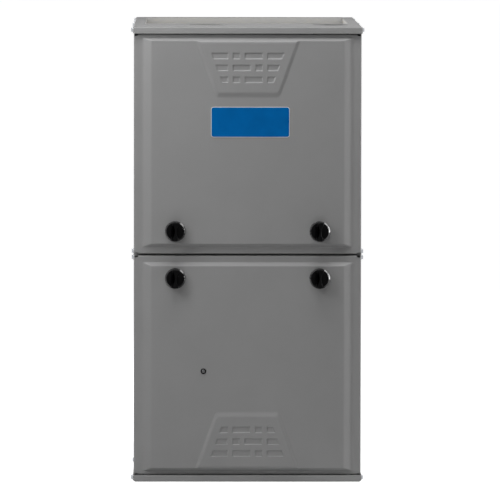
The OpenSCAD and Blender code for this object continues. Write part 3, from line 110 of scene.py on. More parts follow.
def add_node(tree: bpy.types.NodeTree, kind: str, inputs: dict[str | int, object]) -> bpy.types.Node:
    """Add a node to a tree.

    Args:
        tree: The tree.
        kind: Blender's name of the node.
        inputs: Values or sockets for its inputs, by number, or by name with underscores for spaces.

    Returns:
        The node.
    """
    node = tree.nodes.new(kind)
    for label, value in inputs.items():
        put(tree, node.inputs[label.replace("_", " ") if isinstance(label, str) else label], value)
    return node


def combine(tree: bpy.types.NodeTree, operation: str, first: object, second: object) -> Socket:
    """Combine two numbers in a tree.

    Args:
        tree: The tree.
        operation: Name of the operation.
        first: Socket or number.
        second: Socket or number.

    Returns:
        The result.
    """
    node = add_node(tree, "ShaderNodeMath", {0: first, 1: second})
    node.operation = operation
    return node.outputs[0]


class Shader:
    """A material's node tree with short ways to add the nodes that the finishes need."""

    def __init__(self, name: str) -> None:
        """Start a material with a Principled shader and object coordinates.

        Args:
            name: Name of the material.
        """
        self.material = bpy.data.materials.new(name)
        self.material.use_nodes = True
        self.tree = self.material.node_tree
        self.bsdf = self.tree.nodes["Principled BSDF"]
        self.coordinates = self.new("TexCoord").outputs["Object"]

    def new(self, kind: str, **inputs: object) -> bpy.types.Node:
        """Add a node by its name without ShaderNode; inputs have underscores for spaces."""
        return add_node(self.tree, "ShaderNode" + kind, inputs)

    def link(self, source: Socket, target: Socket) -> None:
        """Join two sockets."""
        self.tree.links.new(source, target)

    def stretched(self, scale: Point) -> Socket:
        """Object coordinates scaled along each axis."""
        return self.new("Mapping", Scale=scale, Vector=self.coordinates).outputs["Vector"]

    def noise(self, scale: float, detail: float = 3.0, vector: Socket | None = None) -> Socket:
        """Cloudy noise, about 0 to 1, with a number of waves for each metre and of octaves."""
        return self.new("TexNoise", Scale=scale, Detail=detail, Vector=vector or self.coordinates).outputs["Fac"]

    def cells(self, scale: float) -> bpy.types.Node:
        """Voronoi cells, with a number of them for each metre."""
        return self.new("TexVoronoi", Scale=scale, Vector=self.coordinates)

    def tint(self, value: Socket, colour: Colour, *stops: tuple[float, float]) -> Socket:
        """A colour that turns darker or lighter with a value.

        Args:
            value: Value from 0 to 1.
            colour: The finish's own colour.
            stops: Two places along the ramp, each with the colour's factor there.

        Returns:
            The shaded colour.
        """
        node = self.new("ValToRGB", Fac=value)
        for element, (place, factor) in zip(node.color_ramp.elements, stops):
            element.position = place
            element.color = (*shade(colour, factor), 1.0)
        return node.outputs["Color"]

    def between(self, value: Socket, low: float, high: float) -> Socket:
        """Map 0 to 1 onto low to high."""
        return self.new("MapRange", Value=value, To_Min=low, To_Max=high).outputs["Result"]

    def bump(self, height: Socket, distance: float, strength: float = 1.0,
             under: Socket | None = None) -> Socket:
        """Bump from a height.

        Args:
            height: Height, 0 to 1.
            distance: Depth of the bump in metres.
            strength: Share of the bump that is used.
            under: Normal of a coarser bump below this one.

        Returns:
            The normal.
        """
        node = self.new("Bump", Height=height, Distance=distance, Strength=strength)
        if under:
            self.link(under, node.inputs["Normal"])
        return node.outputs["Normal"]

    def surface(self, colour: Socket | Colour, roughness: Socket | float,
                normal: Socket | None, metallic: float = 0.0, coat: float = 0.0,
                specular: float = 0.5) -> Material:
        """Fill the Principled shader.

        Args:
            colour: Colour socket or one colour.
            roughness: Roughness socket or one value.
            normal: Bumped normal, if any.
            metallic: 0 for paint and plastic, 1 for bare metal.
            coat: Weight of a clear coat.
            specular: Strength of the mirror part of a paint or plastic.

        Returns:
            The finished material.
        """
        sockets = self.bsdf.inputs
        put(self.tree, sockets["Base Color"], colour if isinstance(colour, Socket) else (*colour, 1.0))
        put(self.tree, sockets["Roughness"], roughness)
        if normal:
            self.link(normal, sockets["Normal"])
        sockets["Metallic"].default_value = metallic
        sockets["Coat Weight"].default_value = coat
        sockets["Specular IOR Level"].default_value = specular
        return self.material


# --- Finishes ---


@dataclass(frozen=True)
class Finish:
    """A surface finish that turns into one material."""

    name: str
    colour: Colour

    def build(self) -> Material:
        """Make the material."""
        raise NotImplementedError


@dataclass(frozen=True)
class CabinetPaint(Finish):
    """Satin powder paint on sheet steel, with a faint orange-peel skin."""

    roughness: float = 0.42
    peel: float = 420.0
    peel_depth: float = 0.00006
    specular: float = 0.3
    waves: Point = (9.0, 9.0, 9.0)
    contrast: float = 0.035

    def build(self) -> Material:
        """Make the material.

        Returns:
            The material.
        """
        s = Shader(self.name)
        cloud = s.noise(1.0, 4.0, s.stretched(self.waves))
        fleck = s.noise(2600.0, 1.0)
        colour = s.tint(cloud, self.colour, (0.25, 1 - self.contrast), (0.75, 1 + self.contrast))
        roughness = s.between(fleck, self.roughness - 0.05, self.roughness + 0.07)
        waves = s.bump(cloud, 0.0004, 0.35)
        skin = s.bump(s.noise(self.peel, 2.0), self.peel_depth, 0.5, waves)
        return s.surface(colour, roughness, skin, specular=self.specular)


@dataclass(frozen=True)
class ZincSheet(Finish):
    """Zinc coated sheet with its crystal spangle."""

    spangle: float = 90.0
    roughness: float = 0.36

    def build(self) -> Material:
        """Make the material.

        Returns:
            The material.
        """
        s = Shader(self.name)
        tone = s.between(s.cells(self.spangle).outputs["Color"], 0.0, 1.0)
        colour = s.tint(tone, self.colour, (0.1, 0.82), (0.9, 1.1))
        roughness = s.between(tone, self.roughness - 0.08, self.roughness + 0.14)
        normal = s.bump(s.noise(500.0, 3.0), 0.00004, 0.5)
        return s.surface(colour, roughness, normal, metallic=1.0)


@dataclass(frozen=True)
class DrawnMetal(Finish):
    """Bare metal drawn or rolled along one axis, with fine lines along it."""

    roughness: float = 0.34
    lines: Point = (1400.0, 14.0, 1400.0)
    stain: float = 0.12

    def build(self) -> Material:
        """Make the material.

        Returns:
            The material.
        """
        s = Shader(self.name)
        lines = s.noise(1.0, 2.0, s.stretched(self.lines))
        blot = s.noise(16.0, 4.0)
        colour = s.tint(blot, self.colour, (0.3, 1 - self.stain), (0.7, 1 + self.stain / 2))
        roughness = s.between(lines, self.roughness - 0.08, self.roughness + 0.12)
        return s.surface(colour, roughness, s.bump(lines, 0.00003, 0.6), metallic=1.0)


@dataclass(frozen=True)
class CastMetal(Finish):
    """Sandy die-cast metal."""

    grain: float = 900.0
    roughness: float = 0.5

    def build(self) -> Material:
        """Make the material.

        Returns:
            The material.
        """
        s = Shader(self.name)
        grain = s.noise(self.grain, 4.0)
        colour = s.tint(s.noise(30.0, 3.0), self.colour, (0.3, 0.9), (0.7, 1.06))
        return s.surface(colour, s.between(grain, self.roughness - 0.1, self.roughness + 0.1),
                         s.bump(grain, 0.00012, 0.7), metallic=0.9)


@dataclass(frozen=True)
class Moulding(Finish):
    """Moulded plastic, rubber or enamel, from glossy to dull."""

    roughness: float = 0.4
    grain: float = 1500.0
    grain_depth: float = 0.00004
    coat: float = 0.0
    specular: float = 0.5

    def build(self) -> Material:
        """Make the material.

        Returns:
            The material.
        """
        s = Shader(self.name)
        grain = s.noise(self.grain, 3.0)
        dust = s.noise(40.0, 4.0)
        colour = s.tint(dust, self.colour, (0.3, 0.92), (0.75, 1.1))
        return s.surface(colour, s.between(dust, self.roughness * 0.85, min(1.0, self.roughness * 1.15)),
                         s.bump(grain, self.grain_depth, 0.6), coat=self.coat, specular=self.specular)


@dataclass(frozen=True)
class Foam(Finish):
    """Closed-cell foam with open pores along its cut face."""

    pores: float = 700.0

    def build(self) -> Material:
        """Make the material.

        Returns:
            The material.
        """
        s = Shader(self.name)
        pores = s.cells(self.pores).outputs["Distance"]
        # Darker towards each pore's middle, where the bump sinks: painted shade in the open pores.
        colour = s.tint(pores, self.colour, (0.1, 0.5), (0.6, 1.0))
        return s.surface(colour, 0.92, s.bump(pores, 0.0004, 0.8), specular=0.2)


@dataclass(frozen=True)
class Blanket(Finish):
    """Insulation blanket: glass fibre behind a scrim with a diamond reinforcement."""

    metallic: float = 0.0
    roughness: float = 0.8
    scrim: float = 90.0

    def build(self) -> Material:
        """Make the material.

        Returns:
            The material.
        """
        s = Shader(self.name)
        crease = s.noise(24.0, 6.0)
        fibre = s.noise(600.0, 4.0)
        threads = s.new("TexWave", Scale=self.scrim, Distortion=0.6, Vector=s.coordinates)
        colour = s.tint(fibre, self.colour, (0.3, 0.8), (0.7, 1.1))
        soft = s.bump(crease, 0.003, 0.6)
        woven = s.bump(threads.outputs["Fac"], 0.0003, 0.4, soft)
        return s.surface(colour, s.between(fibre, self.roughness - 0.1, self.roughness + 0.1),
                         s.bump(fibre, 0.0004, 0.5, woven), metallic=self.metallic, specular=0.3)


@dataclass(frozen=True)
class ClearLens(Finish):
    """Clear glass with a faint dusty haze."""

    roughness: float = 0.06

    def build(self) -> Material:
        """Make the material.

        Returns:
            The material.
        """
        s = Shader(self.name)
        haze = s.noise(900.0, 3.0)
        colour = s.tint(haze, self.colour, (0.3, 0.8), (0.7, 1.0))
        roughness = s.between(haze, self.roughness, self.roughness * 3)
        return s.surface(colour, roughness, s.bump(haze, 0.00001, 0.3), coat=0.5)


@dataclass(frozen=True)
class CircuitBoard(Finish):
    """Green board with paler tracks and tinned spots."""

    def build(self) -> Material:
        """Make the material.

        Returns:
            The material.
        """
        s = Shader(self.name)
        paints = {name: (*shade(self.colour, factor), 1.0)
                  for name, factor in (("Color1", 1.0), ("Color2", 0.8), ("Mortar", 2.2))}
        tracks = s.new("TexBrick", Scale=60.0, Mortar_Size=0.05, Vector=s.coordinates, **paints)
        return s.surface(tracks.outputs["Color"], s.between(s.noise(300.0), 0.25, 0.45),
                         s.bump(tracks.outputs["Fac"], 0.0001, 0.5))


class Slot(Enum):
    """The record's material slots."""

    CABINET = "cabinet_paint"
    ZINC = "galvanized"
    ALUMINIZED = "aluminized"
    STAINLESS = "stainless"
    SCREW = "zinc_screw"
    CAST = "cast_aluminium"
    PIPE = "black_pipe"
    CERAMIC = "ceramic"
    DULL_BLACK = "black_plastic"
    GLOSS_BLACK = "black_gloss"
    RED = "red_plastic"
    WHITE = "white_plastic"
    PLATE = "blue_plate"
    RUBBER = "black_rubber"
    SILICONE = "clear_rubber"
    FOAM = "foam"
    BLANKET = "insulation"
    FOIL = "foil"
    BOARD = "board_green"
    MOTOR = "motor_paint"
    TRAP = "trap_plastic"


FINISHES: dict[Slot, Finish] = {
    Slot.CABINET: CabinetPaint("cabinet_enamel", srgb(128, 128, 128)),
    Slot.ZINC: ZincSheet("zinc_coated_sheet", srgb(196, 199, 203)),
    Slot.ALUMINIZED: DrawnMetal("aluminized_sheet", srgb(205, 205, 202), 0.42),
    Slot.STAINLESS: DrawnMetal("stainless_sheet", srgb(190, 187, 182), 0.3, stain=0.06),
    Slot.SCREW: DrawnMetal("plated_screw", srgb(170, 172, 176), 0.3, stain=0.05),
    Slot.CAST: CastMetal("die_cast_body", srgb(190, 190, 190)),
    Slot.PIPE: CastMetal("black_iron_pipe", srgb(52, 50, 49), 500.0, 0.6),
    Slot.CERAMIC: Moulding("fired_ceramic", srgb(236, 230, 216), 0.6, 900.0, 0.00008),
    Slot.DULL_BLACK: Moulding("dull_black_moulding", srgb(30, 30, 31), 0.5, 1300.0, 0.00008),
    Slot.GLOSS_BLACK: Moulding("gloss_black_knob", srgb(6, 6, 7), 0.14, 900.0, 0.00001, specular=0.04),
    Slot.RED: Moulding("red_button", srgb(170, 28, 22), 0.3),
    Slot.WHITE: Moulding("white_pipe", srgb(228, 228, 222), 0.32),
    Slot.PLATE: Moulding("blue_plate_face", srgb(0, 88, 152), 0.45, 1800.0, 0.00001, specular=0.05),
    Slot.RUBBER: Moulding("black_rubber", srgb(26, 26, 26), 0.75, 800.0, 0.0001, specular=0.3),
    Slot.SILICONE: Moulding("silicone_tube", srgb(206, 198, 180), 0.4),
    Slot.FOAM: Foam("seal_foam", srgb(52, 52, 54)),
    Slot.BLANKET: Blanket("glass_fibre_blanket", srgb(214, 196, 140)),
    Slot.FOIL: Blanket("foil_blanket", srgb(200, 202, 205), 0.9, 0.35),
    Slot.BOARD: CircuitBoard("circuit_board", srgb(20, 92, 48)),
    Slot.MOTOR: Moulding("motor_enamel", srgb(42, 43, 46), 0.42, 700.0, 0.00008),
    Slot.TRAP: Moulding("trap_moulding", srgb(222, 222, 216), 0.45),
}
SLOTS: dict[str, Slot] = {row["node"]: Slot(row["material_slot"]) for row in frame["record"]["subparts"]}
BODIES: dict[str, str] = {
    node: body for body, nodes in frame["record"]["behaviour"]["bodies"].items() for node in nodes
}


class Palette:
    """Every finish as a built material, by slot."""

    def __init__(self) -> None:
        """Build all materials once."""
        self.materials = {slot: finish.build() for slot, finish in FINISHES.items()}
        self.lens = ClearLens("sight_lens", srgb(40, 43, 46)).build()
        # Top sheet: a darker copy of the cabinet paint with strong streaks along its width, as painted shade and
        # painted reflection streaks.
        self.top = CabinetPaint("top_sheet_enamel", srgb(104, 104, 104), 0.6, specular=0.12,
                                waves=(1.6, 42.0, 9.0), contrast=0.22).build()
        # Supply flange: a lighter copy of the cabinet paint, as painted light inside the shaded opening.
        self.flange = CabinetPaint("supply_flange_enamel", srgb(146, 146, 146), 0.55).build()
        # Base tray: a lighter copy of the cabinet paint, as painted light on the lip.
        self.tray = CabinetPaint("base_tray_enamel", srgb(135, 135, 135)).build()
        self.polished = Moulding("knob_polished_rim", srgb(7, 7, 8), 0.12, 900.0, 0.00001, specular=0.5).build()

    def of(self, slot: Slot) -> Material:
        """The material of a slot."""
        return self.materials[slot]

    def dress_frame(self) -> None:
        """Give every carried node the material of its slot in the record."""
        for name, node in frame["nodes"].items():
            node.data.materials.clear()
            node.data.materials.append(self.of(SLOTS[name]))
        LOG.info("dressed %d carried nodes", len(SLOTS))


# --- Mesh helpers ---


def mesh_object(name: str, vertices: list[Point], faces: list[list[int]], material: Material,
                smooth: bool = True) -> Piece:
    """Make an object from points and faces.

    Args:
        name: Name of the piece.
        vertices: Points in metres.
        faces: Lists of point numbers.
        material: Its material.
        smooth: Whether faces are shaded smooth.

    Returns:
        The object, linked to the scene.
    """
    mesh = bpy.data.meshes.new(name)
    mesh.from_pydata(vertices, [], faces)
    mesh.validate()
    mesh.materials.append(material)
    mesh.polygons.foreach_set("use_smooth", [smooth] * len(mesh.polygons))
    return linked(name, mesh)


def linked(name: str, data: bpy.types.ID) -> Piece:
    """Make an object from mesh, lamp or camera data and link it to the scene.

    Args:
        name: Its name.
        data: What it shows.

    Returns:
        The object.
    """
    made = bpy.data.objects.new(name, data)
    bpy.context.scene.collection.objects.link(made)
    return made


def modify(piece: Piece, kind: str, **settings: object) -> None:
    """Put a modifier on a piece.

    Args:
        piece: The piece.
        kind: Blender's name of the modifier.
        settings: Its settings.
    """
    modifier = piece.modifiers.new(kind.lower(), kind)
    for key, value in settings.items():
        setattr(modifier, key, value)


def bake_modifiers(piece: Piece) -> Piece:
    """Turn a piece's modifiers into plain mesh.

    Args:
        piece: The object with live modifiers.

    Returns:
        The same object, with the result as its mesh.
    """
    bpy.context.view_layer.update()
    graph = bpy.context.evaluated_depsgraph_get()
    result = bpy.data.meshes.new_from_object(piece.evaluated_get(graph))
    old = piece.data
    piece.modifiers.clear()
    piece.data = result
    bpy.data.meshes.remove(old)
    return piece


def thicken(piece: Piece, sheet: float) -> None:
    """Give an open sheet its thickness in mm, behind the side that its faces show."""
    modify(piece, "SOLIDIFY", thickness=sheet * MM, offset=-1.0, use_even_offset=True)
    bake_modifiers(piece)


def round_edges(piece: Piece, width: float) -> None:
    """Round the sharp edges of a closed piece, by a width in mm."""
    modify(piece, "BEVEL", width=width * MM, segments=2, limit_method="ANGLE", angle_limit=math.radians(35))
    bake_modifiers(piece)


def cut_away(piece: Piece, cutters: list[Piece]) -> None:
    """Cut other closed shapes out of a piece and delete them.

    Args:
        piece: The piece.
        cutters: What is cut away.
    """
    for cutter in cutters:
        modify(piece, "BOOLEAN", operation="DIFFERENCE", solver="EXACT", object=cutter)
    bake_modifiers(piece)
    for cutter in cutters:
        bpy.data.objects.remove(cutter)


def join(name: str, pieces: list[Piece]) -> Piece:
    """Put several meshes together in one piece.

    Args:
        name: Name of the new piece.
        pieces: What it is made from; they are deleted.

    Returns:
        The piece, with the materials of its parts.
    """
    shell = bmesh.new()
    materials: list[Material] = []
    for part in pieces:
        own = part.data.materials[0]
        if own not in materials:
            materials.append(own)
        start = len(shell.faces)
        shell.from_mesh(part.data)
        shell.faces.ensure_lookup_table()
        for face in shell.faces[start:]:
            face.material_index = materials.index(own)
    mesh = bpy.data.meshes.new(name)
    shell.to_mesh(mesh)
    shell.free()
    for material in materials:
        mesh.materials.append(material)
    for part in pieces:
        bpy.data.objects.remove(part)
    return linked(name, mesh)


def crisp(piece: Piece, degrees: float) -> None:
    """Shade a piece smooth, with its steeper edges kept sharp."""
    piece.data.polygons.foreach_set("use_smooth", [True] * len(piece.data.polygons))
    piece.data.set_sharp_from_angle(angle=math.radians(degrees))


def block(low: Point, high: Point, material: Material) -> Piece:
    """A box from one corner to the other.

    Args:
        low: Lowest corner in mm.
        high: Highest corner in mm.
        material: Its material.

    Returns:
        The box.
    """
    xs, ys, zs = zip(low, high)
    points = [(x * MM, y * MM, z * MM) for x in xs for y in ys for z in zs]
    faces = [[0, 1, 3, 2], [4, 6, 7, 5], [0, 4, 5, 1], [2, 3, 7, 6], [0, 2, 6, 4], [1, 5, 7, 3]]
    return mesh_object("block", points, faces, material, smooth=False)


def lathe(profile: Outline, centre: Point, axis: str, material: Material,
          sides: int = 64, name: str = "turned") -> Piece:
    """Turn a closed profile about an axis.

    Args:
        profile: Points as (radius, distance along the axis) in mm, from one pole to the other, or a closed ring.
        centre: A point of the axis in mm.
        axis: "X", "Y" or "Z"; distance runs along it.
        material: Its material.
        sides: Number of steps round.
        name: Its name.

    Returns:
        The turned piece.
    """
    points: list[Point] = []
    rings: list[list[int]] = []
    for radius, along in profile:
        ring = []
        for k in range(sides if radius > 0 else 1):
            angle = 2 * math.pi * k / sides
            a, b = radius * math.cos(angle), radius * math.sin(angle)
            local = {"X": (along, a, b), "Y": (a, along, b), "Z": (a, b, along)}[axis]
            ring.append(len(points))
            points.append(tuple((c + p) * MM for c, p in zip(centre, local)))
        rings.append(ring)
    if profile[0][0] > 0:
        rings.append(rings[0])
    faces = []
    for first, second in zip(rings, rings[1:]):
        for k in range(sides):
            a, b = first[k % len(first)], first[(k + 1) % len(first)]
            c, d = second[(k + 1) % len(second)], second[k % len(second)]
            faces.append(list(dict.fromkeys([a, b, c, d])))
    return closed_body(name, points, faces, material)


def closed_body(name: str, points: list[Point], faces: list[list[int]], material: Material) -> Piece:
    """Make a closed piece with its faces pointing outwards.

    Args:
        name: Name of the piece.
        points: Points in metres.
        faces: Lists of point numbers, in any order round.
        material: Its material.

    Returns:
        The piece.
    """
    piece = mesh_object(name, points, faces, material)
    shell = bmesh.new()
    shell.from_mesh(piece.data)
    bmesh.ops.remove_doubles(shell, verts=shell.verts, dist=WELD)
    bmesh.ops.recalc_face_normals(shell, faces=shell.faces)
    shell.to_mesh(piece.data)
    shell.free()
    return piece


def bands(rings: int, count: int, closed: bool = False) -> list[list[int]]:
    """Faces between rings of points that follow one another.

    Args:
        rings: How many rings there are.
        count: Points in each.
        closed: Whether the last ring is joined to the first.

    Returns:
        The faces.
    """
    faces = []
    for start in range(0, (rings - (not closed)) * count, count):
        for k in range(count):
            a, b = start + k, start + (k + 1) % count
            faces.append([a, b, (b + count) % (rings * count), (a + count) % (rings * count)])
    return faces


def drill(radius: float, reach: float, centre: Point, axis: str, material: Material, sides: int) -> Piece:
    """A round cutter about a centre in mm, with its radius and its reach to both sides."""
    return lathe([(0, -reach), (radius, -reach), (radius, reach), (0, reach)], centre, axis, material, sides, "drill")


def stacked(outline: Outline, layers: Outline, to_world: Callable[[float, float, float], Point],
            material: Material, name: str = "stacked") -> Piece:
    """Build a closed body from one outline that shrinks from layer to layer.

    Args:
        outline: Points of the outline in mm, anticlockwise.
        layers: Pairs of height and how far the outline is drawn in.
        to_world: Turns (across, up, height) in mm into a place in mm.
        material: Its material.
        name: Its name.

    Returns:
        The body.
    """
    flat = np.array(outline)
    ahead, behind = np.roll(flat, -1, axis=0) - flat, flat - np.roll(flat, 1, axis=0)
    normals = [np.array([e[:, 1], -e[:, 0]]).T / np.linalg.norm(e, axis=1)[:, None] for e in (ahead, behind)]
    outward = normals[0] + normals[1]
    outward /= np.maximum((outward * normals[0]).sum(axis=1), 0.35)[:, None]
    points: list[Point] = []
    for height, inset in layers:
        for across, up in flat - outward * inset:
            points.append(tuple(c * MM for c in to_world(across, up, height)))
    count = len(flat)
    faces = [list(range(count)), list(range(len(points) - count, len(points))), *bands(len(layers), count)]
    return closed_body(name, points, faces, material)


def rounded_rectangle(width: float, height: float, radius: float, steps: int = 8) -> Outline:
    """Outline of a rectangle with rounded corners, anticlockwise.

    Args:
        width: Full width in mm.
        height: Full height in mm.
        radius: Corner radius in mm.
        steps: Points round each corner.

    Returns:
        The outline.
    """
    outline = []
    for corner, (sx, sz) in enumerate(((1, 1), (-1, 1), (-1, -1), (1, -1))):
        for k in range(steps + 1):
            angle = math.pi / 2 * (corner + k / steps)
            outline.append((sx * (width / 2 - radius) + radius * math.cos(angle),
                            sz * (height / 2 - radius) + radius * math.sin(angle)))
    return outline


def soft_step(value: np.ndarray) -> np.ndarray:
    """Ease from 0 at 0 to 1 at 1."""
    t = np.clip(value, 0.0, 1.0)
    return t * t * (3 - 2 * t)


def pressed_slope(value: np.ndarray, foot: float = 0.32, head: float = 0.16) -> np.ndarray:
    """A straight slope from 0 at 0 to 1 at 1, with a soft bend at its foot and a tighter one at its head.

    Args:
        value: Where on the slope.
        foot: Share of the slope that bends at its foot.
        head: Share that bends at its head.

    Returns:
        Height on the slope.
    """
    t = np.clip(value, 0.0, 1.0)
    steep = 1 / (1 - (foot + head) / 2)
    low = steep * t * t / (2 * foot)
    high = 1 - steep * (1 - t) ** 2 / (2 * head)
    return np.where(t < foot, low, np.where(t > 1 - head, high, steep * (t - foot / 2)))


def rounded_min(values: list[np.ndarray], radius: float) -> np.ndarray:
    """Smallest of some distances, with the creases between them rounded by a radius."""
    return -radius * np.log(sum(np.exp(-value / radius) for value in values))


def lines_between(marks: Outline) -> np.ndarray:
    """Grid lines with a step that changes from stretch to stretch.

    Args:
        marks: Pairs of a position and the step used from there to the next mark.

    Returns:
        The grid lines, rising.
    """
    lines: list[float] = []
    for (start, step), (end, _) in zip(marks, marks[1:]):
        count = max(1, round((end - start) / step))
        lines += [start + (end - start) * i / count for i in range(count)]
    return np.array(lines + [marks[-1][0]])


def arc(radius: float, start: float, end: float, steps: int) -> Outline:
    """Points on a circle about the origin, from one angle to another in degrees."""
    return [(radius * math.cos(a), radius * math.sin(a)) for a in np.radians(np.linspace(start, end, steps + 1))]


def box_mm(node: str) -> tuple[Vector, Vector]:
    """Lowest and highest corner of a carried node in mm."""
    low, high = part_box(node)
    return low / MM, high / MM


def middle_mm(node: str) -> Point:
    """Middle of a carried node's box in mm."""
    return tuple((low + high) / 2 for low, high in zip(*box_mm(node)))


def settle(piece: Piece, body: str, slot: Slot, *nodes: str, sharp: float | None = None) -> None:
    """Shade a finished piece, let it ride on its body and stand for its nodes.

    Args:
        piece: The finished piece.
        body: The body that carries it.
        slot: The record's slot for its finish; not used.
        nodes: Carried nodes that it replaces.
        sharp: Edges steeper than this many degrees stay sharp, or None where the shading is set already.
    """
    if sharp:
        crisp(piece, sharp)
    if nodes:
        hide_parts(*nodes)
    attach(piece, body)
    LOG.info("%s: %d faces on %s", piece.name, len(piece.data.polygons), body)


# --- Geometry Nodes ---


class NodeRecipe:
    """A Geometry Nodes tree with named inputs that ends in real mesh and one material."""

    def __init__(self, name: str, **sizes: float) -> None:
        """Start the tree.

        Args:
            name: Name of the tree.
            sizes: Its size inputs and their values, with underscores for spaces.
        """
        self.sizes = sizes
        self.tree = bpy.data.node_groups.new(name, "GeometryNodeTree")
        panel = self.tree.interface
        panel.new_socket("Geometry", in_out="INPUT", socket_type="NodeSocketGeometry")
        self.identifiers: dict[str, str] = {}
        for label, value in sizes.items():
            kind = "NodeSocketInt" if isinstance(value, int) else "NodeSocketFloat"
            socket = panel.new_socket(label.replace("_", " "), in_out="INPUT", socket_type=kind)
            self.identifiers[label] = socket.identifier
        panel.new_socket("Geometry", in_out="OUTPUT", socket_type="NodeSocketGeometry")
        self.source = self.tree.nodes.new("NodeGroupInput")
        self.sink = self.tree.nodes.new("NodeGroupOutput")

    def add(self, kind: str, **inputs: object) -> bpy.types.Node:
        """Add a node by its name, without GeometryNode where it starts so; inputs have underscores for spaces."""
        return add_node(self.tree, kind if kind.startswith("Shader") else "GeometryNode" + kind, inputs)

    def size(self, label: str) -> Socket:
        """One of the tree's named inputs."""
        return self.source.outputs[label]

    def math(self, operation: str, first: object, second: object) -> Socket:
        """Combine two numbers or sockets."""
        return combine(self.tree, operation, first, second)

    def vector(self, x: object = 0.0, y: object = 0.0, z: object = 0.0) -> Socket:
        """Three numbers or sockets as one vector."""
        return self.add("ShaderNodeCombineXYZ", X=x, Y=y, Z=z).outputs[0]

    def along(self) -> Socket:
        """Where each point lies along X."""
        place = self.add("InputPosition").outputs[0]
        return self.add("ShaderNodeSeparateXYZ", Vector=place).outputs["X"]

    def bent_plate(self, length: str, height: str, columns: int, bend: Socket) -> Socket:
        """A thin plate in X and Z with its points moved along Y.

        Args:
            length: Input with its length along X.
            height: Input with its height along Z.
            columns: Points along X.
            bend: How far each point is moved.

        Returns:
            The plate's mesh.
        """
        size = self.vector(self.size(length), self.size("Thickness"), self.size(height))
        blank = self.add("MeshCube", Size=size, Vertices_X=columns, Vertices_Y=2, Vertices_Z=2)
        return self.add("SetPosition", Geometry=blank.outputs["Mesh"], Offset=self.vector(y=bend)).outputs[0]

    def spread(self, points: Socket, shape: Socket, turn: object, material: Material) -> None:
        """End the tree with the shape at every point as real mesh with one material.

        Args:
            points: Where it stands.
            shape: The shape.
            turn: Socket or angles with its turn there.
            material: Its material.
        """
        around = self.add("InstanceOnPoints", Points=points, Instance=shape, Rotation=turn)
        real = self.add("RealizeInstances", Geometry=around.outputs[0])
        dressed = self.add("SetMaterial", Geometry=real.outputs[0], Material=material)
        self.tree.links.new(dressed.outputs[0], self.sink.inputs[0])

    def run(self, piece: Piece) -> Piece:
        """Run the tree and keep its result as plain mesh.

        Args:
            piece: The object that the tree starts from.

        Returns:
            The piece with the tree's mesh.
        """
        recipe = piece.modifiers.new("recipe", "NODES")
        recipe.node_group = self.tree
        for label, value in self.sizes.items():
            recipe[self.identifiers[label]] = value
        return bake_modifiers(piece)


# --- Doors and what they carry ---


class DoorPlace(Enum):
    """Which of the two doors."""

    UPPER = "upper_door"
    LOWER = "lower_door"


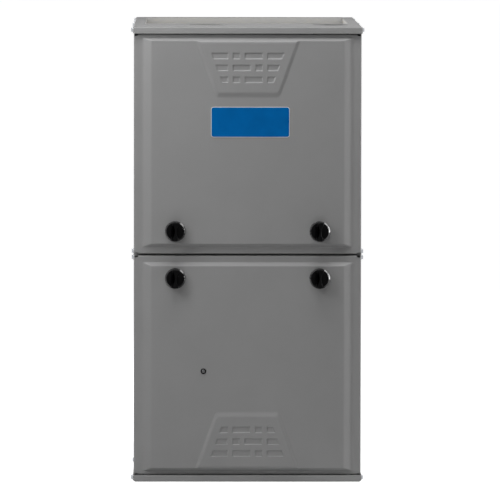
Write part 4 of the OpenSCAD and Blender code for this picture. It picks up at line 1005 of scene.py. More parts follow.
@dataclass
class PressedDoor:
    """One stamped door: flat rim, soft raised panel, trapezoid with closed pockets, folded edges."""

    place: DoorPlace
    palette: Palette
    sheet: float = 1.0
    rim_side: float = 14.0
    rim_end: float = 5.6
    rim_gap: float = 12.0
    bevel_side: float = 21.0
    bevel_end: float = 8.0
    rim_depth: float = 12.0
    panel_rise: float = 9.0
    trapezoid_rise: float = 3.0
    trapezoid_top: float = 202.75
    trapezoid_wide: float = 208.0
    trapezoid_lean: float = 0.362
    trapezoid_height: float = 113.0
    trapezoid_slope: float = 9.5
    trapezoid_foot: float = 12.5
    foot_half: float = 60.5
    pocket_first: float = 30.7
    pocket_pitch: float = 23.2
    pocket_height: float = 11.2
    pocket_long: float = 34.0
    pocket_short: float = 13.2
    pocket_gap: float = 10.0
    pocket_depth: float = 1.5
    pocket_margin: float = 24.2
    pocket_edge: float = 1.5
    fold_radius: float = 1.6
    folded_in: float = 9.0
    notch: float = 1.5
    notch_length: float = 8.0
    tab_half: float = 10.0
    tab_drop: float = 8.0
    panel_crease: float = 0.05
    trapezoid_crease: float = 0.07
    pocket_crease: float = 0.5
    head_slope: float = 1.2
    head_start: float = 0.35
    step_edge: float = 1.6
    step_end: float = 1.0
    step_bevel: float = 1.8
    step_pressed: float = 1.05
    step_flat: float = 9.0
    bevel_room: float = 3.0
    trapezoid_room: float = 4.0
    foot_room: float = 6.0

    def __post_init__(self) -> None:
        """Take the door's place from the frame."""
        low, high = box_mm(self.place.value)
        self.width = high.x - low.x
        self.height = high.z - low.z
        self.middle = (high.z + low.z) / 2
        self.back = box_mm("door_seal")[0].y
        self.rim = self.back - self.rim_depth

    def pocket_distance(self, x: np.ndarray, z: np.ndarray) -> np.ndarray:
        """How deep each point lies inside its nearest pocket.

        Args:
            x: Sideways places, mm from the door's middle.
            z: Upright places, mm from the door's middle.

        Returns:
            Distance inside a pocket's edge, negative outside.
        """
        core = (self.pocket_long + self.pocket_short + self.pocket_gap) / 2
        best = np.full(np.broadcast(x, z).shape, -1e3)
        for row in range(3):
            drop = self.pocket_first + row * self.pocket_pitch
            upright = self.pocket_height / 2 - np.abs(z - (self.trapezoid_top - drop))
            first = self.pocket_long if row % 2 else self.pocket_short
            edge = self.trapezoid_wide / 2 - (self.trapezoid_top - z) * self.trapezoid_lean - self.pocket_margin
            spans = [x + core, -core + first - x], [x + core - first - self.pocket_gap, core - x]
            sides = [[s * x - core - self.pocket_gap, edge - s * x] for s in (-1, 1)]
            for low, high in [*spans, *sides]:
                best = np.maximum(best, rounded_min([upright, low, high], self.pocket_crease))
        return best

    def stand_out(self, x: np.ndarray, z: np.ndarray) -> np.ndarray:
        """How far the skin stands out from the rim's face.

        Args:
            x: Sideways places, mm from the door's middle.
            z: Upright places, mm from the door's middle, with the pockets at the top.

        Returns:
            Height above the rim in mm.
        """
        side = (self.width / 2 - self.rim_side - np.abs(x)) / self.bevel_side
        end = (self.height / 2 - np.where(z > 0, self.rim_end, self.rim_gap) - np.abs(z)) / self.bevel_end
        panel = pressed_slope(rounded_min([side, end], self.panel_crease))
        drop = self.trapezoid_top - z
        flank = self.trapezoid_wide / 2 - drop * self.trapezoid_lean - np.abs(x)
        foot = self.trapezoid_height - drop
        corner = (self.foot_half + self.trapezoid_height - np.abs(x) - drop) * math.sqrt(0.5)
        head = drop / (self.bevel_end * self.head_slope) + self.head_start
        distances = [flank / self.trapezoid_slope, foot / self.trapezoid_foot, corner / self.trapezoid_foot, head]
        trapezoid = soft_step(rounded_min(distances, self.trapezoid_crease))
        pocket = soft_step(self.pocket_distance(x, z) / self.pocket_edge + 0.5)
        return self.panel_rise * panel + self.trapezoid_rise * trapezoid - self.pocket_depth * pocket

    def grid(self) -> tuple[np.ndarray, np.ndarray]:
        """Grid lines across and up the face, close together where the skin bends.

        Returns:
            Both sets of lines in mm from the door's middle.
        """
        half_w = self.width / 2 - self.fold_radius
        half_h = self.height / 2 - self.fold_radius
        corner = self.width / 2 - self.notch_length
        slope_in = self.width / 2 - self.rim_side - self.bevel_side - self.bevel_room
        wide = self.trapezoid_wide / 2 + self.trapezoid_room
        low = self.trapezoid_top - self.trapezoid_height - self.foot_room
        end_in = self.height / 2 - self.rim_gap - self.bevel_end - self.bevel_room
        edge, end, bevel, pressed, flat = (self.step_edge, self.step_end, self.step_bevel, self.step_pressed,
                                           self.step_flat)
        across = lines_between([(-half_w, edge), (-corner, bevel), (-slope_in, flat), (-wide, pressed), (wide, flat),
                                (slope_in, bevel), (corner, edge), (half_w, edge)])
        upward = lines_between([(-half_h, end), (-end_in, flat), (low, pressed), (half_h, end)])
        return across, upward

    def fold_profile(self) -> Outline:
        """Run of a folded edge.

        Returns:
            Points as (outward, backward) in mm from the face's edge.
        """
        r = self.fold_radius
        bend = [(y, r - x) for x, y in arc(r, 22.5, 90, 3)]
        hem = [(x, self.rim_depth - r + y) for x, y in arc(r, 0, 90, 3)]
        return bend + hem + [(-self.folded_in + r, self.rim_depth)]

    def skin(self) -> Piece:
        """Make the face with its four folds as one sheet, turned half round for the lower door.

        Returns:
            The sheet with its wall thickness.
        """
        across, upward = self.grid()
        x, z = np.meshgrid(across, upward, indexing="ij")
        out = self.stand_out(x, z)
        corner = np.abs(x) > self.width / 2 - self.notch_length + 0.1
        limit = self.height / 2 - self.fold_radius - self.notch
        shown_z = np.where(corner, np.clip(z, -limit, limit), z)
        points = np.stack([x, self.rim - out, shown_z], axis=-1).reshape(-1, 3).tolist()
        rows, columns = x.shape
        index = np.arange(rows * columns).reshape(rows, columns)
        squares = [index[:-1, :-1], index[1:, :-1], index[1:, 1:], index[:-1, 1:]]
        faces = np.stack(squares, axis=-1).reshape(-1, 4).tolist()
        inside = np.flatnonzero(~corner[:, 0])
        self.add_fold(points, faces, index[inside, 0], (0, -1), True)
        self.add_fold(points, faces, index[inside, -1], (0, 1), False)
        self.add_fold(points, faces, index[0, 2:-2], (-1, 0), False)
        self.add_fold(points, faces, index[-1, 2:-2], (1, 0), True)
        turn = -1 if self.place is DoorPlace.LOWER else 1
        placed = [(turn * px * MM, py * MM, (turn * pz + self.middle) * MM) for px, py, pz in points]
        sheet = mesh_object(self.place.value + "_sheet", placed, faces, self.palette.of(Slot.CABINET))
        thicken(sheet, self.sheet)
        crisp(sheet, 40)
        return sheet

    def add_fold(self, points: list, faces: list, edge: np.ndarray, outward: tuple[int, int], flip: bool) -> None:
        """Add one folded edge along a side of the face.

        Args:
            points: Points so far, in mm; new ones are added.
            faces: Faces so far; new ones are added.
            edge: Point numbers along the side.
            outward: Direction away from the door's middle, across and up.
            flip: Whether the faces' order is turned round.
        """
        previous = list(edge)
        for step_out, step_back in self.fold_profile():
            current = []
            for number in edge:
                px, _, pz = points[number]
                current.append(len(points))
                points.append([px + outward[0] * step_out, self.rim + step_back, pz + outward[1] * step_out])
            for a, b, c, d in zip(previous, previous[1:], current[1:], current):
                faces.append([d, c, b, a] if flip else [a, b, c, d])
            previous = current

    def switch_tab(self) -> Piece:
        """Make the bent tab that holds the door switch in.

        Returns:
            The tab.
        """
        x, _, z = middle_mm("door_switch_plunger")
        reach, foot, top = box_mm("door_switch_plunger")[0].y, z - self.tab_drop, z + self.tab_drop
        face = self.rim - self.panel_rise + self.sheet / 2
        t = self.sheet
        side = [(face, top), (reach - t, top), (reach - t, foot), (reach, foot), (reach, top + t), (face, top + t)]
        return stacked(side, [(-self.tab_half, 0), (self.tab_half, 0)],
                       lambda y, up, across: (x + across, y, up), self.palette.of(Slot.CABINET))

    def build(self) -> None:
        """Make the door and set it in place."""
        parts = [self.skin()]
        if self.place is DoorPlace.LOWER:
            parts.append(self.switch_tab())
        settle(join(self.place.value + "_skin", parts), self.place.value, Slot.CABINET, self.place.value)


@dataclass
class DoorKnob:
    """Quarter-turn knob: turned skirt with a polished chamfer, waisted grip, shaft and locking tongue."""

    node: str
    palette: Palette
    stands_out: float = 22.0
    skirt: float = 5.6
    radius: float = 20.0
    chamfer: float = 2.5
    rim_skin: float = 0.25
    grip_half: float = 8.0
    waist_half: float = 4.0
    lean: float = 3.0
    shaft_radius: float = 3.9
    tongue_half_width: float = 3.4
    tongue_half_length: float = 10.9
    tongue_thick: float = 2.3
    tongue_corner: float = 1.6
    grip_inset: float = 0.6
    grip_points: int = 21
    sides: int = 72
    shaft_sides: int = 32

    def grip_outline(self) -> Outline:
        """Outline of the upright grip with a finger scoop at each side.

        Returns:
            The outline, anticlockwise.
        """
        reach = self.radius - self.grip_inset
        half = math.sqrt(reach**2 - self.grip_half**2)
        heights = np.linspace(-half, half, self.grip_points)
        scoop = self.radius + self.waist_half
        side = [min(self.grip_half, scoop - math.sqrt(max(self.radius**2 - h * h, 0))) for h in heights]
        right = list(zip(side, heights))
        edge = math.degrees(math.acos(self.grip_half / reach))
        crown = arc(reach, edge, 180 - edge, 8)[1:-1]
        foot = [(-x, -y) for x, y in crown]
        return right + crown + [(-x, -y) for x, y in right] + foot

    def build(self) -> None:
        """Make the knob."""
        low, high = box_mm(self.node)
        x, _, z = middle_mm(self.node)
        panel = low.y + self.stands_out
        gloss = self.palette.of(Slot.GLOSS_BLACK)
        r, slope, skin = self.radius, self.chamfer, self.rim_skin
        dish = [(r - slope - 1.6, -self.skirt + 0.15), (r - slope - 3.2, -self.skirt + 0.7), (0, -self.skirt + 0.7)]
        skirt = lathe([(0, -0.3), (r - 0.5, -0.3), (r, -0.8), (r, slope - self.skirt), (r - skin, slope - self.skirt),
                       (r - slope, -self.skirt + skin), *dish], (x, panel, z), "Y", gloss, self.sides)
        band = [(r - 0.02, slope - self.skirt - 0.02), (r - slope, -self.skirt), (r - slope, -self.skirt + 0.2),
                (r - skin, slope - self.skirt - 0.02)]
        rim = lathe(band, (x, panel, z), "Y", self.palette.polished, self.sides)
        angle = math.radians(self.lean)

        def turned(across: float, up: float, out: float) -> Point:
            """Place of a grip point, leaned from upright."""
            return (x + across * math.cos(angle) + up * math.sin(angle), panel - out,
                    z + up * math.cos(angle) - across * math.sin(angle))

        top = panel - low.y
        layers = [(self.skirt - 1.2, 0.0), (top - 5, 0.7), (top - 2.2, 1.1), (top - 1.0, 1.6), (top - 0.3, 2.3),
                  (top, 3.1)]
        grip = stacked(self.grip_outline(), layers, turned, gloss)
        end = high.y - panel - 1
        shaft = lathe([(0, 0), (self.shaft_radius, 0), (self.shaft_radius, end), (0, end)], (x, panel, z), "Y",
                      gloss, self.shaft_sides)
        w, l, t = self.tongue_half_width, self.tongue_half_length, self.tongue_thick
        tongue = stacked(rounded_rectangle(2 * w, 2 * l, self.tongue_corner, 4),
                         [(0.05, 0.4), (0.4, 0), (t - 0.4, 0), (t, 0.4)],
                         lambda a, b, c: (x + a, high.y - c, z + b), gloss)
        settle(join(self.node + "_finished", [skirt, rim, grip, shaft, tongue]), self.node, Slot.GLOSS_BLACK,
               self.node, sharp=38)


@dataclass
class BlankPlate:
    """Rounded blue plate with a thin pale border, left blank."""

    palette: Palette
    corner: float = 5.0
    border: float = 0.7
    step: float = 0.15
    corner_steps: int = 10

    def build(self) -> None:
        """Make the plate and its border."""
        low, high = box_mm("name_plate")
        x, _, z = middle_mm("name_plate")
        thick = high.y - low.y
        back = thick - self.step

        def placed(across: float, up: float, out: float) -> Point:
            """Place of a plate point."""
            return x + across, high.y - out, z + up

        parts = (("plate_border", 0.0, [(0, 0), (back - 0.2, 0), (back, 0.2)], Slot.WHITE, ()),
                 ("plate_face", self.border, [(back - 0.3, 0), (thick - 0.1, 0), (thick, 0.12)], Slot.PLATE,
                  ("name_plate",)))
        for name, inset, layers, slot, nodes in parts:
            outline = rounded_rectangle(high.x - low.x - 2 * inset, high.z - low.z - 2 * inset, self.corner - inset,
                                        self.corner_steps)
            piece = stacked(outline, layers, placed, self.palette.of(slot), name)
            settle(piece, "upper_door", slot, *nodes, sharp=30)


@dataclass
class SightGlass:
    """Small black ring with a clear lens in the lower door."""

    palette: Palette
    stem: float = 4.0
    bead: float = 1.1
    ring_sides: int = 40
    lens_sides: int = 32

    def build(self) -> None:
        """Make the ring and the lens."""
        low, high = box_mm("sight_glass")
        r = (high.x - low.x) / 2
        face = high.y - self.stem
        out = face - low.y
        x, _, z = middle_mm("sight_glass")
        centre = (x, face, z)
        bead = [(r - self.bead + px, -0.5 - py) for px, py in arc(self.bead, 0, 180, 8)]
        ring = lathe([(r - 1.2, self.stem), (r - 1, self.stem), (r - 1, 0.0), (r, 0.0), *bead, (r - 2.2, self.stem)],
                     centre, "Y", self.palette.of(Slot.GLOSS_BLACK), self.ring_sides, "sight_ring")
        settle(ring, "lower_door", Slot.GLOSS_BLACK, "sight_glass", sharp=40)
        dome = [(px, -0.7 - (out - 0.75) * py / (r - 2)) for px, py in arc(r - 2, 0, 90, 6)]
        dome[-1] = (0, dome[-1][1])
        lens = lathe([(0, 0.5), (r - 2, 0.5), *dome], centre, "Y", self.palette.lens, self.lens_sides,
                     "sight_lens")
        settle(lens, "lower_door", Slot.GLOSS_BLACK)


# --- Cabinet ---


@dataclass
class Casing:
    """Wrapped sheet with rounded bends, inturned front flanges, side holes and return outlines."""

    palette: Palette
    sheet: float = 1.0
    bend: float = 1.8
    flange: float = 20.0
    outline_depth: float = 0.4
    outline_width: float = 3.0
    outline_low: float = 30.0
    outline_high: float = 398.0
    return_front: float = 110.0
    return_rear: float = 54.0
    outline_over: float = 2.0
    round_hole: float = 44.5
    wiring_hole: float = 22.2
    drill_reach: float = 4.0
    hole_sides: int = 48

    def build(self) -> None:
        """Make the casing."""
        low, high = box_mm("casing_wrapper")
        piece = self.wrap(low, high)
        cut_away(piece, self.holes(high.x) + self.outlines(low, high))
        settle(piece, "cabinet", Slot.CABINET, "casing_wrapper", sharp=30)

    def wrap(self, low: Vector, high: Vector) -> Piece:
        """Make the wrapped sheet without its holes.

        Args:
            low: Lowest corner of the casing in mm.
            high: Highest corner.

        Returns:
            The closed sheet body.
        """
        half, front, back = high.x, low.y, high.y

        def path(inset: float, radius: float) -> Outline:
            """Run of the sheet at one of its two faces, from the left flange to the right one.

            Args:
                inset: How far the face lies inside the casing in mm.
                radius: Radius of its bends.

            Returns:
                The run.
            """
            reach = half - inset
            run = [(-half + self.flange, front + inset)]
            for x, y, start in ((-reach, front + inset, 270), (-reach, back - inset, 180),
                                (reach, back - inset, 90), (reach, front + inset, 0)):
                sx, sy = (1 if x < 0 else -1), (1 if y == front + inset else -1)
                run += [(x + sx * radius + px, y + sy * radius + py) for px, py in arc(radius, start, start - 90, 5)]
            return run + [(half - self.flange, front + inset)]

        outer, inner = path(0.0, self.bend), path(self.sheet, self.bend - self.sheet)
        count = len(outer)
        points = [(x * MM, y * MM, z * MM) for z in (low.z, high.z) for ring in (outer, inner) for x, y in ring]
        faces = [[0, count, 3 * count, 2 * count], [count - 1, 3 * count - 1, 4 * count - 1, 2 * count - 1]]
        for k in range(count - 1):
            a, b = k, k + 1
            faces += [[a, b, b + 2 * count, a + 2 * count], [a + count, b + count, b + 3 * count, a + 3 * count],
                      [a, b, b + count, a + count], [a + 2 * count, b + 2 * count, b + 3 * count, a + 3 * count]]
        return closed_body("casing_sheet", points, faces, self.palette.of(Slot.CABINET))

    def holes(self, wall: float) -> list[Piece]:
        """Cutters for the gas, drain and wiring holes in the sides.

        Args:
            wall: How far both sides are from the middle in mm.

        Returns:
            The cutters.
        """
        spots = [(side * wall, y, z, self.round_hole) for side in (-1, 1) for y, z in self.plug_centres()]
        _, y, z = middle_mm("junction_box")
        spots.append((-wall, y, z, self.wiring_hole))
        paint = self.palette.of(Slot.CABINET)
        return [drill(wide / 2, self.drill_reach, place, "X", paint, self.hole_sides) for *place, wide in spots]

    @staticmethod
    def plug_centres() -> Outline:
        """Centres of the two plugged holes.

        Returns:
            Pairs of (y, z) in mm.
        """
        node = frame["nodes"]["knockout_plugs"].data
        points = np.array([v.co for v in node.vertices]) / MM
        middle = (points[:, 2].min() + points[:, 2].max()) / 2
        groups = [points[points[:, 2] < middle], points[points[:, 2] >= middle]]
        return [tuple((g[:, axis].min() + g[:, axis].max()) / 2 for axis in (1, 2)) for g in groups]

    def outlines(self, low: Vector, high: Vector) -> list[Piece]:
        """Cutters for the return air outline pressed into each side.

        Args:
            low: Lowest corner of the casing in mm.
            high: Highest corner.

        Returns:
            The cutters.
        """
        y1, y2 = low.y + self.return_front, high.y - self.return_rear
        z1, z2, w = self.outline_low, self.outline_high, self.outline_width
        cutters = []
        for side in (-1, 1):
            x1, x2 = sorted((side * (high.x - self.outline_depth), side * (high.x + self.outline_over)))
            points, faces = [], []
            for x in (x1, x2):
                points += [(x, y1, z1), (x, y2, z1), (x, y2, z2), (x, y1, z2)]
                points += [(x, y1 + w, z1 + w), (x, y2 - w, z1 + w), (x, y2 - w, z2 - w), (x, y1 + w, z2 - w)]
            for k in range(4):
                n = (k + 1) % 4
                faces += [[k, n, n + 4, k + 4], [k + 8, n + 8, n + 12, k + 12], [k, n, n + 8, k + 8],
                          [k + 4, n + 4, n + 12, k + 12]]
            points = [tuple(c * MM for c in point) for point in points]
            cutters.append(closed_body("outline", points, faces, self.palette.of(Slot.CABINET)))
        return cutters


@dataclass
class LippedSheet:
    """Pan that closes the casing above or below: a flat sheet with skirts and a rounded bend."""

    palette: Palette
    node: str
    upside_down: bool
    sheet: float = 1.0
    bend: float = 2.2
    corner: float = 1.2
    bend_steps: int = 5
    corner_steps: int = 4

    def shell(self) -> Piece:
        """Make the pan with its wall thickness, without openings.

        Returns:
            The closed pan body.
        """
        low, high = box_mm(self.node)
        skirt = self.skirt_height()
        half_x, half_y = (high.x - low.x) / 2, (high.y - low.y) / 2
        x, y, _ = middle_mm(self.node)
        outline = rounded_rectangle(high.x - low.x, high.y - low.y, self.corner, self.corner_steps)
        bends = [(skirt - self.bend + up, self.bend - out) for out, up in arc(self.bend, 0, 90, self.bend_steps)]
        start, turn = (low.z + skirt, -1) if self.upside_down else (high.z - skirt, 1)
        points: list[Point] = []
        for height, inset in [(0.0, 0.0), *bends]:
            shrink_x, shrink_y = (half_x - inset) / half_x, (half_y - inset) / half_y
            points += [((x + across * shrink_x) * MM, (y + deep * shrink_y) * MM, (start + turn * height) * MM)
                       for across, deep in outline]
        faces = bands(len(bends) + 1, len(outline))
        faces.append(list(range(len(points) - len(outline), len(points))))
        if self.upside_down:
            faces = [face[::-1] for face in faces]
        pan = mesh_object(self.node + "_pan", points, faces, self.paint())
        thicken(pan, self.sheet)
        return pan

    def paint(self) -> Material:
        """The pan's paint, a lighter copy of the cabinet paint as painted light on the base tray."""
        return self.palette.tray

    def skirt_height(self) -> float:
        """Height of the skirts."""
        low, high = box_mm("base_tray")
        return high.z - low.z


@dataclass
class TopPlate(LippedSheet):
    """Top sheet with its flanged supply opening and the holes for the vent and the air pipe."""

    pipe_hole: float = 37.0
    supply_inset: float = 20.75
    supply_end: float = 21.5
    flange: float = 1.0
    flange_roll: float = 1.2
    cut_down: float = 40.0
    cut_up: float = 5.0
    drill_reach: float = 8.0
    hole_sides: int = 64
    upright: float = 0.8

    def paint(self) -> Material:
        """The top sheet's paint: a darker copy of the cabinet paint, with painted shade and painted reflection
        streaks.
        """
        return self.palette.top

    def build(self) -> None:
        """Make the top plate."""
        low, high = box_mm(self.node)
        paint = self.paint()
        wall, casing = box_mm("vest_panel"), box_mm("casing_wrapper")
        x = casing[1].x - self.supply_inset
        y1 = wall[1].y + self.supply_end
        y2 = casing[1].y - self.sheet - self.supply_end
        pan = self.shell()
        holes = [block((-x, y1, high.z - self.cut_down), (x, y2, high.z + self.cut_up), paint)]
        for pipe in ("vent_coupling", "air_collar"):
            x_pipe, y_pipe, _ = middle_mm(pipe)
            place = (x_pipe, y_pipe, high.z)
            holes.append(drill(self.pipe_hole, self.drill_reach, place, "Z", paint, self.hole_sides))
        cut_away(pan, holes)
        ring = self.supply_flange(x, y1, y2, high.z, high.z - low.z)
        plate = join(self.node + "_finished", [pan, ring])
        self.paint_skirts(plate)
        settle(plate, "cabinet", Slot.CABINET, self.node, sharp=30)

    def paint_skirts(self, plate: Piece) -> None:
        """Give the pan's upright faces the cabinet's paint.

        Args:
            plate: The whole top plate, with the pan as its first material.
        """
        plate.data.materials.append(self.palette.of(Slot.CABINET))
        for face in plate.data.polygons:
            if face.material_index == 0 and abs(face.normal.z) < self.upright:
                face.material_index = len(plate.data.materials) - 1

    def supply_flange(self, x: float, y1: float, y2: float, top: float, drop: float) -> Piece:
        """The flanges turned down round the supply opening, with a rolled upper edge.

        Args:
            x: Half width of the opening in mm.
            y1: Its front edge.
            y2: Its rear edge.
            top: Height of the top sheet's upper face.
            drop: How far the flanges reach down.

        Returns:
            The closed ring.
        """
        t, out = self.flange, self.flange + self.flange_roll
        profile = [(0.0, -drop), (0.0, -self.flange_roll), (0.35, -0.4), (self.flange_roll, 0.0), (out, -0.02),
                   (out, -t), (t, -t), (t, -drop)]
        middle, half = (y1 + y2) / 2, (y2 - y1) / 2
        points = [(sx * (x + outward) * MM, (middle + sy * (half + outward)) * MM, (top + height) * MM)
                  for outward, height in profile for sx, sy in ((-1, -1), (1, -1), (1, 1), (-1, 1))]
        # The ring takes the lighter flange paint, which is painted light inside the shaded opening.
        return closed_body("supply_flange_ring", points, bands(len(profile), 4, closed=True), self.palette.flange)


@dataclass
class BaseTray(LippedSheet):
    """Base pan with its turned-in front edge, trimmed lip corners and return opening."""

    corner_cut: float = 4.0
    hem: float = 5.0
    return_side: float = 19.25
    return_front: float = 110.0
    return_rear: float = 65.0
    return_reach: float = 5.0
    cut_room: float = 2.0
    cut_back: float = 19.0

    def build(self) -> None:
        """Make the base tray."""
        low, high = box_mm(self.node)
        casing = box_mm("casing_wrapper")
        paint = self.palette.of(Slot.CABINET)
        pan = self.shell()
        x = casing[1].x - self.return_side
        cutters = [block((-x, casing[0].y + self.return_front, -self.return_reach),
                         (x, casing[1].y - self.return_rear, self.return_reach), paint)]
        room, leg = self.cut_room, self.corner_cut + self.cut_room
        for side in (-1, 1):
            out, under = side * high.x + side * room, low.z - room
            wedge = [(out, under), (out, low.z + leg), (side * high.x - side * leg, under)]
            cutters.append(stacked(wedge if side < 0 else wedge[::-1], [(-1, 0), (self.cut_back, 0)],
                                   lambda a, b, h: (a, low.y + h, b), paint))
        cut_away(pan, cutters)
        t, turned = self.sheet, low.y + self.sheet + self.hem
        strip = [(low.y + 0.4, high.z - 0.6), (low.y + 0.9, high.z - 0.15), (low.y + 1.6, high.z),
                 (turned, high.z), (turned, high.z - t), (low.y + 0.4, high.z - t)]
        hem = stacked(strip, [(low.x + t, 0), (high.x - t, 0)], lambda y, z, h: (h, y, z), paint)
        settle(join(self.node + "_finished", [pan, hem]), "cabinet", Slot.CABINET, self.node, sharp=30)


@dataclass
class SideScrews:
    """Hexagon-headed sheet screws on both sides, set out by Geometry Nodes."""

    palette: Palette
    washer_radius: float = 5.5
    washer: float = 1.0
    head_radius: float = 4.2
    head: float = 3.0
    head_taper: float = 0.9
    front_inset: float = 8.0
    back_inset: float = 20.0
    pair_half: float = 6.0
    washer_sides: int = 20
    head_sides: int = 6

    def build(self) -> None:
        """Make every side screw as one piece."""
        recipe = NodeRecipe("side_screws", Washer_radius=self.washer_radius * MM, Washer=self.washer * MM,
                            Head_radius=self.head_radius * MM, Head=self.head * MM)
        thick, wide = recipe.size("Washer"), recipe.size("Head radius")
        washer = recipe.add("MeshCylinder", Vertices=self.washer_sides, Depth=thick,
                            Radius=recipe.size("Washer radius"))
        head = recipe.add("MeshCone", Vertices=self.head_sides, Radius_Bottom=wide, Depth=recipe.size("Head"),
                          Radius_Top=recipe.math("MULTIPLY", wide, self.head_taper))
        both = recipe.add("JoinGeometry")
        for shape, lift in ((washer, recipe.math("MULTIPLY", thick, 0.5)), (head, thick)):
            moved = recipe.add("Transform", Geometry=shape.outputs["Mesh"], Translation=recipe.vector(z=lift))
            recipe.tree.links.new(moved.outputs[0], both.inputs[0])
        facing = recipe.add("InputNamedAttribute", Name="facing")
        facing.data_type = "FLOAT_VECTOR"
        steel = self.palette.of(Slot.SCREW)
        recipe.spread(recipe.source.outputs["Geometry"], both.outputs[0], facing.outputs["Attribute"], steel)
        places, turns = self.places()
        piece = mesh_object("cabinet_screws_finished", places, [], steel)
        attribute = piece.data.attributes.new("facing", "FLOAT_VECTOR", "POINT")
        attribute.data.foreach_set("vector", np.array(turns).ravel())
        settle(recipe.run(piece), "cabinet", Slot.SCREW, "cabinet_screws", sharp=30)

    def places(self) -> tuple[list[Point], list[Point]]:
        """Set out rows of screws in the lips and a pair beside the door gap.

        Returns:
            Foot of each screw in metres, and its turn.
        """
        casing, lips = box_mm("casing_wrapper"), box_mm("base_tray")
        gap = (box_mm("upper_door")[0].z + box_mm("lower_door")[1].z) / 2
        half_lip, top = (lips[1].z - lips[0].z) / 2, box_mm("top_plate")[1].z
        front = casing[0].y + self.front_inset
        rows = (front, (casing[0].y + casing[1].y) / 2, casing[1].y - self.back_inset)
        spots = [(lips[1].x, y, z) for y in rows for z in (half_lip, top - half_lip)]
        spots += [(casing[1].x, front, gap + step) for step in (-self.pair_half, self.pair_half)]
        places = [(side * x * MM, y * MM, z * MM) for side in (-1, 1) for x, y, z in spots]
        return places, [(0.0, math.copysign(math.pi / 2, place[0]), 0.0) for place in places]


@dataclass
class HolePlugs:
    """Domed plugs in the unused holes of the right side."""

    palette: Palette
    radius: float = 22.2
    lip: float = 24.7
    sides: int = 56

    def build(self) -> None:
        """Make both plugs."""
        paint = self.palette.of(Slot.CABINET)
        low, high = box_mm("knockout_plugs")
        out = high.x
        dome = [(self.lip, out - 1.2), (self.lip - 0.2, out - 0.5), (self.lip - 1.0, out), (self.radius - 2, out),
                (self.radius - 3, out - 0.5), (0, out - 0.5)]
        profile = [(0, low.x), (self.radius, low.x), (self.radius, out - 1.2), *dome]
        parts = [lathe(profile, (0, y, z), "X", paint, self.sides) for y, z in Casing.plug_centres()]
        settle(join("knockout_plugs_finished", parts), "cabinet", Slot.CABINET, "knockout_plugs", sharp=30)


# --- Inner sections ---


@dataclass
class RoundedParts:
    """Sheet and moulded parts whose own shape stays, with their edges rounded."""

    palette: Palette
    widths: dict[str, float] = field(default_factory=lambda: {
        "bottom_closure": 0.3, "blower_shelf": 0.3, "mid_rail": 0.35, "vest_panel": 0.3,
        "burner_box": 0.45, "gas_valve": 2.0, "gas_valve_switch": 0.7, "hot_surface_igniter": 0.8,
        "flame_sensor": 0.8, "rollout_switches": 0.3, "limit_switch": 0.3, "coupling_box": 0.5,
        "collector_box": 1.6, "inducer_housing": 0.6, "inducer_motor": 0.9, "inducer_fan": 0.4,
        "vent_pipe": 0.5, "vent_coupling": 0.8, "air_collar": 0.6, "pressure_switch": 1.0,
        "condensate_trap": 1.6, "blower_housing": 0.3, "blower_shaft": 0.8, "blower_motor": 1.6,
        "motor_mount": 0.4, "control_box": 0.45, "control_board": 0.4, "transformer": 0.8,
        "door_switch": 1.0, "door_switch_plunger": 0.8, "junction_box": 0.4, "rollout_button_left": 0.5,
        "rollout_button_right": 0.5, "door_liner": 1.5, "door_seal": 0.6, "casing_insulation": 1.5,
        "gas_manifold": 0.5, "burners": 0.2,
    })

    def build(self) -> None:
        """Make the rounded copy of every listed node."""
        for node, width in self.widths.items():
            settle(self.rounded(node, width), BODIES[node], SLOTS[node], node)

    @staticmethod
    def rounded(node: str, width: float) -> Piece:
        """Merge a copy of a node's mesh and round its sharp edges.

        Args:
            node: The carried node.
            width: Width of the rounding in mm.

        Returns:
            The new piece.
        """
        mesh = frame["nodes"][node].data.copy()
        piece = linked(node + "_finished", mesh)
        shell = bmesh.new()
        shell.from_mesh(mesh)
        bmesh.ops.remove_doubles(shell, verts=shell.verts, dist=CAD_WELD)
        bmesh.ops.dissolve_limit(shell, angle_limit=math.radians(1), verts=shell.verts, edges=shell.edges)
        shell.to_mesh(mesh)
        shell.free()
        round_edges(piece, width)
        crisp(piece, 35)
        modify(piece, "WEIGHTED_NORMAL", keep_sharp=True, weight=90)
        return bake_modifiers(piece)


